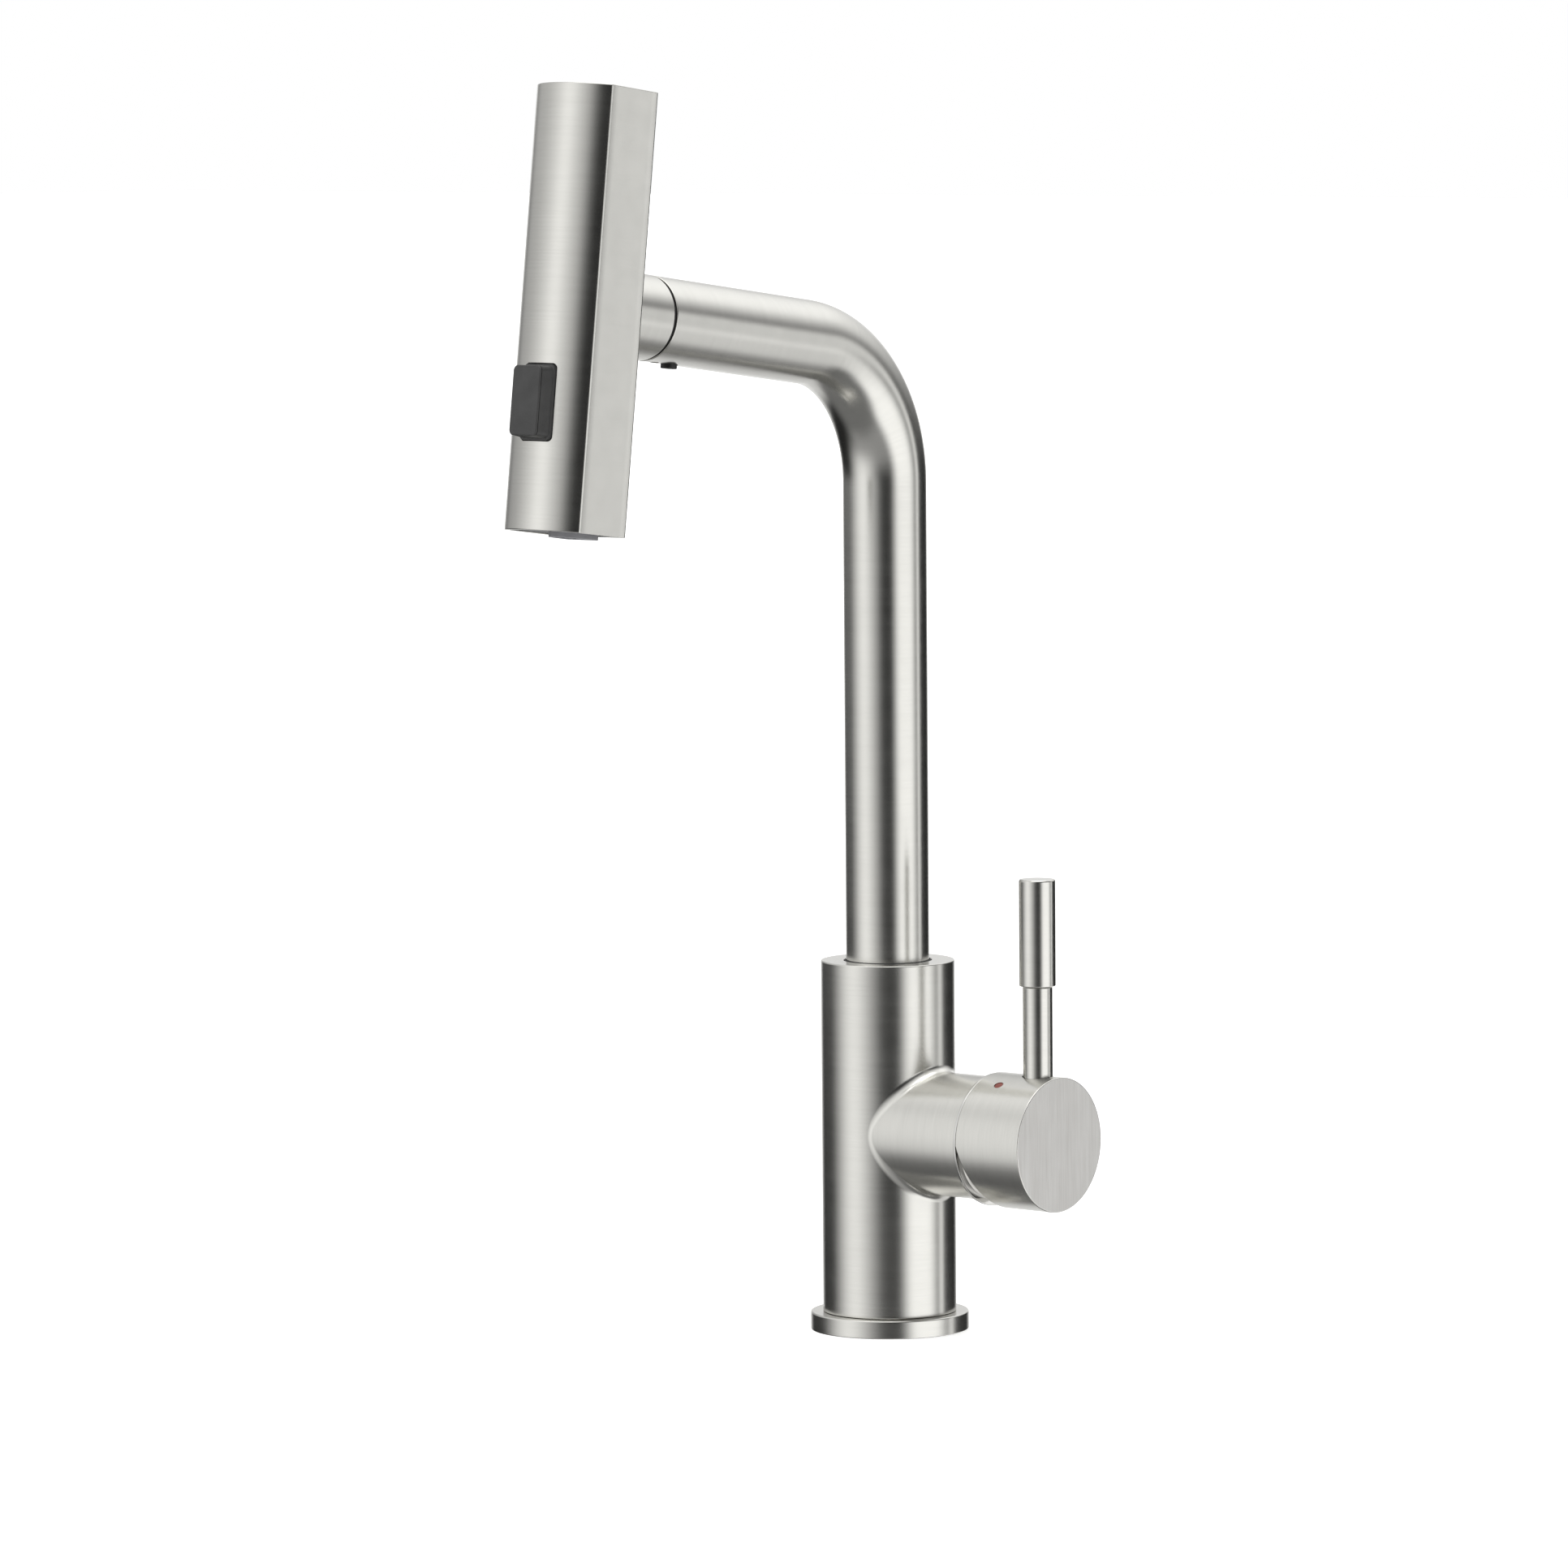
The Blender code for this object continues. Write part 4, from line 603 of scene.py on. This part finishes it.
def make_cap():
    """Round handle cap.  Its inner edge is planed back along its lower half: a point moves out by
    slope * depth below the axis, less and less over the first RELIEF_LONG, and not beyond it."""
    profile = refine(opened([
        (POLE_R, BOSS_START, 0), (BOSS_R, BOSS_START, 0.3), (BOSS_R, CAP_FLOOR, 0.3),
        (CAP_BORE_R, CAP_FLOOR, 0.4), (CAP_BORE_R, CAP_START, 0.15), (CAP_R, CAP_START, 0.3),
        (CAP_R, CAP_END, 0.4), (POLE_R, CAP_END, 0)]), 1.3, closed=False)
    grid = turned_grid(profile, ROUND)
    below = np.maximum(0, -grid[..., 1])
    fade = np.clip(1 - (grid[..., 2] - CAP_START) / RELIEF_LONG, 0, 1)
    outside = np.hypot(grid[..., 0], grid[..., 1]) > BOSS_R + 1
    grid[..., 2] += RELIEF_SLOPE * below * fade * outside
    cap = surface("handle_cap_skin", grid, BRANCH, ring=False)
    lever_line = axes((LEVER_X, 0, 0), X, Y, Z)
    screw_line = axes((SET_SCREW_X, 0, AXIS_Z), X, Y, Z)
    dot_line = dot_axes()
    stem = axes((0, 0, AXIS_Z), Y, Z, X)
    cut(cap,
        bar("rod hole", ROD_R + 0.35, ROD_FOOT - 0.3, AXIS_Z + CAP_R + 2, lever_line, 64),
        bar("screw hole", SET_SCREW_HOLE_R, -CAP_R - 2, SET_SCREW_TOP + 1, screw_line),
        bar("dot recess", DOT_R + 0.2, CAP_R - 0.9, CAP_R + 2, dot_line),
        rounded_box("stem socket", STEM_SOCKET, 0.3, BOSS_START - 1, STEM_SOCKET_END, stem, 32))
    points = points_of(cap)
    finish(cap, "handle", "handle_finish", ["handle_cap"], turned_grain(points, BRANCH),
           handle_steel, brightened_face_steel)
    paint_end(cap, CAP_END)


def dot_axes():
    """The line through the red marker: out from the cap's axis, leaning to the front."""
    out = math.cos(DOT_ANGLE) * Z - math.sin(DOT_ANGLE) * Y
    return axes((DOT_X, 0, AXIS_Z), X, np.cross(out, X), out)


def paint_end(cap, end):
    """Gives the flat end face of the cap its straight grain and its lighter tone, which is painted
    light.
    """
    mesh = cap.data
    centres = np.empty(len(mesh.polygons) * 3)
    mesh.polygons.foreach_get("center", centres)
    flat = np.abs(centres.reshape(-1, 3)[:, 0] / MM - end) < 0.02
    mesh.polygons.foreach_set("material_index", flat.astype(np.int32))


def make_lever():
    """Lever rod with its thicker grip, and the red marker in the cap."""
    rod = turned("lever_rod_skin", [
        (1.0, ROD_FOOT, 0), (ROD_R, ROD_FOOT, 0.2), (ROD_R, ROD_TOP, 0.3),
        (SPIGOT_R, ROD_TOP, 0.1), (SPIGOT_R, SPIGOT_END, 0.3), (1.0, SPIGOT_END, 0)],
        LEVER, SMALL_ROUND, ring=False)
    finish(rod, "handle", "handle_finish", ["lever_rod"], turned_grain(points_of(rod), LEVER),
           handle_steel)
    grip = turned("lever_grip_skin", [
        (1.0, GRIP_TOP, 0), (GRIP_R, GRIP_TOP, 0.75), (GRIP_R, GRIP_BOTTOM, 0.4),
        (GRIP_BORE_R, GRIP_BOTTOM, 0.2), (GRIP_BORE_R, GRIP_BORE_END, 0.2),
        (1.0, GRIP_BORE_END, 0)], LEVER, SMALL_ROUND, ring=False)
    finish(grip, "handle", "handle_finish", ["lever_grip"], turned_grain(points_of(grip), LEVER),
           handle_steel)
    dot = turned("red_marker", [
        (0.4, CAP_R - 0.6, 0), (DOT_R, CAP_R - 0.6, 0.1), (DOT_R, CAP_R - 0.16, 0.12),
        (0.4, CAP_R - 0.08, 0)], dot_axes(), 48, ring=False, margin=0.03)
    finish(dot, "handle", "red_enamel", ["temperature_marker"], local(points_of(dot), dot_axes()),
           enamel)


# ---------------------------------------------------------------- spout and hose

def carried_grid(profile, columns):
    """(r, s) rows carried along the spout's centreline.  The centreline climbs the column, follows
    the bend, whose angle is clip((s - start) / R), and runs out straight; the points stand off it by
    r (cos t X + sin t N), with N = (0, cos angle, sin angle)."""
    t = np.arange(columns) * math.tau / columns
    r, s = profile[:, :1], profile[:, 1:]
    angle = np.clip((s - BEND_START) / BEND_R, 0, BEND_TURN)
    past = np.maximum(s - BEND_STOP, 0)
    y = BEND_R * (np.cos(angle) - 1) - past * math.cos(TILT)
    z = np.minimum(s, BEND_START) + BEND_R * np.sin(angle) + past * math.sin(TILT)
    off = r * np.sin(t)
    return np.stack([r * np.cos(t), y + off * np.cos(angle), z + off * np.sin(angle)], -1)


def along(reach):
    """Length along the centreline at a reach beyond the bend."""
    return BEND_STOP + reach - BEND_REACH


def under(reach):
    """A frame that looks down out of the spout end at the given reach."""
    origin = np.array([0, 0, SPOUT_AXIS_Z]) + reach * OUT
    return axes(origin, X, np.cross(-UP, X), -UP)


def make_spout():
    """Bent spout tube with its eased mouth, and the two holes under its end."""
    end = along(SPOUT_END)
    profile = refine(soften([(SPOUT_R, SPOUT_BOTTOM, 0.3), (SPOUT_R, end, 0.35),
                             (SPOUT_BORE_R, end, 0.25), (SPOUT_BORE_R, SPOUT_BOTTOM, 0.2)]), 2.2)
    tube = surface("spout_tube_skin", carried_grid(profile, ROUND), DECK)
    cut(tube, bar("plug hole", PLUG_R + 0.25, DOCK_FLOOR, 20.0, under(PLUG_AT)),
        bar("screw hole", GRUB_R + 0.25, DOCK_FLOOR, 20.0, under(GRUB_AT)))
    finish(tube, "spout", "body_finish", ["spout_tube"], drawn_grain(points_of(tube)), tube_steel)


def make_dock():
    """Dock insert that takes the neck's spigot, the plug that holds it and the neck's seal."""
    radius, end = SPOUT_BORE_R - 0.3, SPOUT_END - 0.4
    dock = turned("spout_dock", [
        (DOCK_BORE_R, end, 0.6), (radius, end, 0.2), (radius, DOCK_BACK, 0.2),
        (DOCK_WAY_R, DOCK_BACK, 0.2), (DOCK_WAY_R, DOCK_STEP, 0.2),
        (DOCK_BORE_R, DOCK_STEP, 0.2)], REACH, SMALL_ROUND)
    cut(dock, bar("plug seat", PLUG_R + 0.25, DOCK_FLOOR, 20.0, under(PLUG_AT)),
        bar("screw seat", GRUB_R + 0.25, DOCK_FLOOR, 20.0, under(GRUB_AT)))
    finish(dock, "spout", "black_plastic", ["dock_insert"], local(points_of(dock), REACH),
           black_nylon)
    plug = turned("spout_plug", [
        (0.6, DOCK_FLOOR + 0.3, 0), (PLUG_R, DOCK_FLOOR + 0.3, 0.2), (PLUG_R, PLUG_TOP - 0.15, 0.45),
        (0.6, PLUG_TOP, 0)], under(PLUG_AT), 48, ring=False)
    finish(plug, "spout", "black_plastic", ["dock_plug"], local(points_of(plug), REACH), black_nylon)
    seal = turned("neck_seal", [
        (SEAL_BORE_R, SEAL_START, 0.15), (SEAL_R, SEAL_START, 0.2), (SEAL_R, SEAL_END, 0.2),
        (SEAL_BORE_R, SEAL_END, 0.15)], REACH, margin=0.03)
    finish(seal, "spray_head", "black_rubber", ["dock_seal"], local(points_of(seal), REACH),
           black_epdm)


def make_neck():
    """Collar that carries the spray head and plugs into the spout."""
    neck = turned("spray_neck", [
        (NECK_POCKET_R, NECK_END, 0.1), (SPOUT_R, NECK_END, 0.3), (SPOUT_R, NECK_START, 0.35),
        (SPIGOT_OUT_R, NECK_START, 0.2), (SPIGOT_OUT_R, SPIGOT_START, 0.7),
        (SPIGOT_BORE_R, SPIGOT_START, 0.3), (SPIGOT_BORE_R, NECK_POCKET, 0.1),
        (NECK_POCKET_R, NECK_POCKET, 0.1)], REACH)
    finish(neck, "spray_head", "body_finish", ["neck_collar"], turned_grain(points_of(neck), REACH),
           tube_steel)


def make_hose():
    """Spray hose along the spout.  It stretches out of the straight spout end when the head is
    pulled, so its grain is laid out for the length it has then: s + PULL * smoothstep."""
    low, high = along(STRETCH_START), along(STRETCH_END)
    s = np.r_[np.linspace(HOSE_LOW, low, 130, endpoint=False),
              np.linspace(low, along(HOSE_END), 120)]
    profile = np.column_stack([np.full(len(s), HOSE_R), s])
    hose = surface("braided_hose", carried_grid(profile, 32), DECK, ring=False)
    x, out, length = drawn_grain(points_of(hose)).T
    part = np.clip((length - low) / (high - low), 0, 1)
    pulled = length + PULL * part * part * (3 - 2 * part)
    round_hose = HOSE_R * np.arctan2(out, x)
    grain = np.column_stack([round_hose, out, pulled])
    finish(hose, None, "hose_sheath", ["spray_hose"], grain, sheath)
    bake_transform(hose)


# ---------------------------------------------------------------- spray head

def bend_corner(before, corner, after, steps=7):
    """A small curve (1-s)^2 P + 2s(1-s) C + s^2 Q round a corner."""
    s = np.linspace(0, 1, steps)[:, None]
    before, corner, after = (np.array(p, float) for p in (before, corner, after))
    return (1 - s) ** 2 * before + 2 * s * (1 - s) * corner + s * s * after


def head_outline(inset, front_ease=0.5, back_ease=0.9):
    """D section of the spray head, the given distance inside its face: an arc in front, two flat
    sides and a flat back, with eased corners.  Rows are (x, reach)."""
    half, radius = HALF_WIDE - inset, ARC_R - inset
    centre = SIDE_END - math.sqrt(ARC_R ** 2 - HALF_WIDE ** 2)
    swing = math.asin(half / radius)
    corner = centre + radius * math.cos(swing)
    a = np.linspace(-swing + front_ease / radius, swing - front_ease / radius, 65)
    front = np.column_stack([radius * np.sin(a), centre + radius * np.cos(a)])
    back = HEAD_BACK + inset
    side = np.linspace(corner - front_ease, back + back_ease, 9)[1:-1]
    right = np.vstack([
        bend_corner(front[-1], (half, corner), (half, corner - front_ease))[1:],
        np.column_stack([np.full(7, half), side]),
        bend_corner((half, back + back_ease), (half, back), (half - back_ease, back))])
    base = np.linspace(half - back_ease, back_ease - half, 9)[1:-1]
    flat = np.column_stack([base, np.full(7, back)])
    return np.vstack([front, right, flat, right[::-1] * (-1, 1)])


def stacked(outline, profile):
    """An outline carried up a profile: a row is (inset, height)."""
    return np.array([np.column_stack([outline(inset), np.full(len(outline(0.5)), height)])
                     for inset, height in profile])


def make_head_shell():
    """Brushed shell of the spray head, open below, with its button opening and inlet hole."""
    profile = opened([
        (4.0, HEAD_TOP, 0), (0.0, HEAD_TOP, 0.35), (0.0, HEAD_BOTTOM, 0.3),
        (HEAD_WALL, HEAD_BOTTOM, 0.2), (HEAD_WALL, HEAD_TOP - HEAD_ROOF, 0.3),
        (4.0, HEAD_TOP - HEAD_ROOF, 0)])
    grid = stacked(head_outline, refine(profile, 4.0, closed=False))
    shell = surface("spray_head_shell", grid, HEAD, ring=False)
    half = (BUTTON_BASE[0] / 2 + 0.35, BUTTON_BASE[1] / 2 + 0.35)
    opening = axes(HEAD[0] + BUTTON_MID * UP, X, UP, OUT)
    cut(shell, rounded_box("button opening", half, BUTTON_CORNER_R, SIDE_END, 205.0, opening),
        bar("inlet hole", INLET_R, HEAD_BACK - 2, HEAD_BACK + 4, REACH, 64))
    finish(shell, "spray_head", "head_finish", ["head_shell"], straight_grain(points_of(shell), HEAD),
           head_steel)


def make_button():
    """Spray button.  Its rounded rectangle keeps its shape while its half sizes follow a profile: a
    pocket in the back, a flange behind the opening, a ledge level with it, the side, a fine parting
    groove and the face, which rises by CROWN_HIGH * (1 - share^2) towards its middle."""
    base, face = np.array(BUTTON_BASE) / 2, np.array(BUTTON_FACE) / 2
    root, pocket, lip = face + BUTTON_TAPER, base * BUTTON_POCKET, base + BUTTON_LIP
    front = BUTTON_FRONT - CROWN_HIGH
    ledge = BUTTON_SHOULDER + 0.3
    side = front - 1.3 - BUTTON_SHOULDER
    quarter = np.linspace(0, math.pi / 2, 7)
    profile = [(pocket, BUTTON_BACK + BUTTON_POCKET_DEEP), (pocket, BUTTON_BACK), (lip, BUTTON_BACK),
               (lip, BUTTON_BACK + BUTTON_LIP_THICK), (base, BUTTON_BACK + BUTTON_LIP_THICK),
               (base, BUTTON_SHOULDER), (root + 0.15, BUTTON_SHOULDER + 0.1), (root, ledge)]
    profile += [(root + (face - root) * share, ledge + side * share)
                for share in (0.25, 0.5, 0.75, 1.0)]
    profile += [(face - 0.4, front - 0.95), (face - 0.4, front - 0.7), (face, front - 0.65)]
    profile += [(face - 0.6 + 0.6 * math.cos(a), front - 0.6 + 0.6 * math.sin(a)) for a in quarter]
    profile += [((face - 0.6) * share, front + CROWN_HIGH * (1 - share ** 2)) for share in CROWN]
    unit = rounded_outline((1.0, 1.0), 0.0, 96)
    corner = rounded_outline(base, BUTTON_CORNER_R, 96) - unit * (base - BUTTON_CORNER_R)
    grid = np.array([np.column_stack([unit * np.maximum(half - BUTTON_CORNER_R, 0.4)
                                      + corner * min(1.0, half[0] / 2.3), np.full(96, at)])
                     for half, at in profile])
    seat = axes(HEAD[0] + BUTTON_MID * UP, X, UP, OUT)
    button = surface("spray_button_skin", grid, seat, ring=False)
    finish(button, "button", "charcoal_plastic", ["spray_button"], local(points_of(button), HEAD),
           charcoal)


def nozzle_outline(inset):
    """Small D section of the nozzle: a half circle in front and a square back with eased corners."""
    half = NOZZLE_HALF - inset
    a = np.linspace(-math.pi / 2, math.pi / 2, 49)
    front = np.column_stack([half * np.sin(a), NOZZLE_MID + half * np.cos(a)])
    back = NOZZLE_BACK + inset
    right = np.vstack([
        bend_corner((half, back + 0.8), (half, back), (half - 0.8, back)),
        [(half * 0.5, back), (0.0, back)]])
    left = right[:-1][::-1] * (-1, 1)
    return np.vstack([front, right, left])


def make_nozzle():
    """Nozzle rim under the head, round the spray face."""
    low = HEAD_BOTTOM - NOZZLE_SHOWS
    high = low + NOZZLE_TALL
    profile = soften([(0.0, low, 0.3), (0.0, high, 0.2), (NOZZLE_WALL, high, 0.2),
                      (NOZZLE_WALL, low, 0.25)], margin=0.05)
    rim = surface("nozzle_rim", stacked(nozzle_outline, profile), HEAD)
    finish(rim, "spray_head", "grey_plastic", ["nozzle_ring"], local(points_of(rim), HEAD),
           nozzle_grey)


# ---------------------------------------------------------------- camera, floor and light

CAMERA_TURN, CAMERA_AWAY, CAMERA_HIGH = math.radians(39.429), 3.096573, 0.474655
LENS_MM, SENSOR_MM = 191.2, 36.0
LOOK_TURN, LOOK_DOWN, LOOK_ROLL = (math.radians(v) for v in (40.137, 4.977, -0.428))
FLOOR_HALF, FLOOR_GLOW = 20.0, 0.45
ROOM_LEVEL, LAMP_LEVEL, LAMP_SPREAD = 0.02, 0.6, math.radians(60)


def make_camera():
    """Camera a little over three metres away, low and to the right, with a long lens."""
    back = Vector((math.sin(LOOK_TURN) * math.cos(LOOK_DOWN),
                   -math.cos(LOOK_TURN) * math.cos(LOOK_DOWN), math.sin(LOOK_DOWN)))
    right = Vector((math.cos(LOOK_TURN), math.sin(LOOK_TURN), 0))
    up = back.cross(right)
    level = right * math.cos(LOOK_ROLL) + up * math.sin(LOOK_ROLL)
    upright = up * math.cos(LOOK_ROLL) - right * math.sin(LOOK_ROLL)
    lens = bpy.data.cameras.new("camera")
    lens.lens = LENS_MM
    lens.sensor_width = SENSOR_MM
    lens.clip_end = 50.0
    camera = bpy.data.objects.new("camera", lens)
    bpy.context.scene.collection.objects.link(camera)
    turn = Matrix((level, upright, back)).transposed().to_4x4()
    turn.translation = (math.sin(CAMERA_TURN) * CAMERA_AWAY, -math.cos(CAMERA_TURN) * CAMERA_AWAY,
                        CAMERA_HIGH)
    camera.matrix_world = turn
    bpy.context.scene.camera = camera


def make_floor():
    """Plain pale floor.  Mirror-like pieces see the studio's own lower half instead of it."""
    mesh = bpy.data.meshes.new("floor")
    far = FLOOR_HALF
    mesh.from_pydata([(-far, -far, 0), (far, -far, 0), (far, far, 0), (-far, far, 0)], [],
                     [(0, 1, 2, 3)])
    floor = bpy.data.objects.new("floor", mesh)
    bpy.context.scene.collection.objects.link(floor)
    paper, tree, shader = blank("pale studio paper")
    place = add(tree, "ShaderNodeTexCoord").outputs["Object"]
    fibre = noise_on(tree, place, (400.0, 400.0, 400.0), 3.0)
    tree.links.new(shades(tree, fibre, (0.3, "#f6f6f5"), (0.7, "#f9f9f8")),
                   shader.inputs["Base Color"])
    shader.inputs["Roughness"].default_value = 0.9
    shader.inputs["Specular IOR Level"].default_value = 0.0
    shader.inputs["Emission Color"].default_value = (1.0, 1.0, 1.0, 1.0)
    shader.inputs["Emission Strength"].default_value = FLOOR_GLOW
    mesh.materials.append(paper)
    floor.visible_glossy = False


# The studio's lights, placed in degrees as seen from the object: (round from the camera, to its
# right; half width; soft edge), (height; half height; soft edge), brightness
LIGHTS = {
    "left soft box": ((-63, 28, 27), (6, 28, 18), 1.38),
    "front left fill": ((-24, 12, 14), (16, 20, 12), 0.30),
    "high left panel": ((-125, 30, 22), (15, 15, 9), 0.75),
    "right soft box": ((56, 29, 14), (-22, 28, 8), 1.66),
    "right strip": ((101, 5, 3), (-4, 14, 6), 1.45),
    "sheet behind": ((180, 21, 7), (-4, 14, 8), 1.20),
    "bounce behind": ((143, 58, 12), (-30, 14, 6), 0.95),
    "bounce in front": ((-32, 60, 26), (-32, 17, 9), 0.42),
    "rear right panel": ((146, 38, 20), (27, 18, 12), 1.00),
    "ground": ((0, 200, 1), (-78, 30, 12), 0.22),
    "ceiling": ((0, 200, 1), (80, 45, 20), 1.25),
    "ceiling centre": ((0, 200, 1), (90, 22, 18), 0.60),
}


def span(tree, angle, place, turning):
    """How far an angle lies inside a light: 1 in the middle, 0 beyond its soft edge."""
    middle, half, edge = (math.radians(value) for value in place)
    away = add(tree, "ShaderNodeMath", [(0, angle), (1, middle)], operation="SUBTRACT").outputs[0]
    if turning:
        away = add(tree, "ShaderNodeMath", [(0, away), (1, -math.pi), (2, math.pi)],
                   operation="WRAP").outputs[0]
    away = add(tree, "ShaderNodeMath", [(0, away)], operation="ABSOLUTE").outputs[0]
    return add(tree, "ShaderNodeMapRange", [("Value", away), ("From Min", half - edge),
                                            ("From Max", half + edge), ("To Min", 1.0),
                                            ("To Max", 0.0)],
               interpolation_type="SMOOTHSTEP").outputs["Result"]


def make_light():
    """Soft studio: the lights above drawn as one sky, on a dark room, plus one soft overhead lamp.
    The camera itself sees a white sheet."""
    world_light = bpy.data.worlds.new("studio")
    bpy.context.scene.world = world_light
    world_light.use_nodes = True
    tree = world_light.node_tree
    tree.nodes.clear()
    sky = add(tree, "ShaderNodeTexCoord").outputs["Generated"]
    turned_sky = add(tree, "ShaderNodeVectorRotate", [("Vector", sky), ("Angle", -LOOK_TURN)],
                     rotation_type="Z_AXIS").outputs["Vector"]
    part = add(tree, "ShaderNodeSeparateXYZ", [("Vector", turned_sky)])
    ahead = add(tree, "ShaderNodeMath", [(0, part.outputs["Y"]), (1, -1.0)],
                operation="MULTIPLY").outputs[0]
    angle = add(tree, "ShaderNodeMath", [(0, part.outputs["X"]), (1, ahead)],
                operation="ARCTAN2").outputs[0]
    height = add(tree, "ShaderNodeMath", [(0, part.outputs["Z"])], operation="ARCSINE").outputs[0]
    total = ROOM_LEVEL
    for turn, rise, level in LIGHTS.values():
        wide = span(tree, angle, turn, True)
        tall = span(tree, height, rise, False)
        panel = add(tree, "ShaderNodeMath", [(0, wide), (1, tall)], operation="MULTIPLY")
        total = add(tree, "ShaderNodeMath", [(0, panel.outputs[0]), (1, level), (2, total)],
                    operation="MULTIPLY_ADD").outputs[0]
    studio = add(tree, "ShaderNodeBackground", [("Strength", total)])
    sheet = add(tree, "ShaderNodeBackground", [("Color", (1, 1, 1, 1)), ("Strength", 1.0)])
    seen = add(tree, "ShaderNodeLightPath").outputs["Is Camera Ray"]
    mixed = add(tree, "ShaderNodeMixShader", [("Fac", seen), (1, studio.outputs[0]),
                                              (2, sheet.outputs[0])])
    add(tree, "ShaderNodeOutputWorld", [("Surface", mixed.outputs[0])])
    lamp = bpy.data.lights.new("overhead soft light", "SUN")
    lamp.energy = LAMP_LEVEL
    lamp.angle = LAMP_SPREAD
    overhead = bpy.data.objects.new("overhead soft light", lamp)
    overhead.location = (0, 0, 2)
    bpy.context.scene.collection.objects.link(overhead)
    bpy.context.scene.view_settings.view_transform = "Standard"


# ---------------------------------------------------------------- everything

make_camera()
paint_frame()
make_base()
make_body()
make_branch()
make_bushing()
make_bonnet()
make_cap()
make_lever()
make_spout()
make_dock()
make_neck()
make_hose()
make_head_shell()
make_button()
make_nozzle()
make_floor()
make_light()
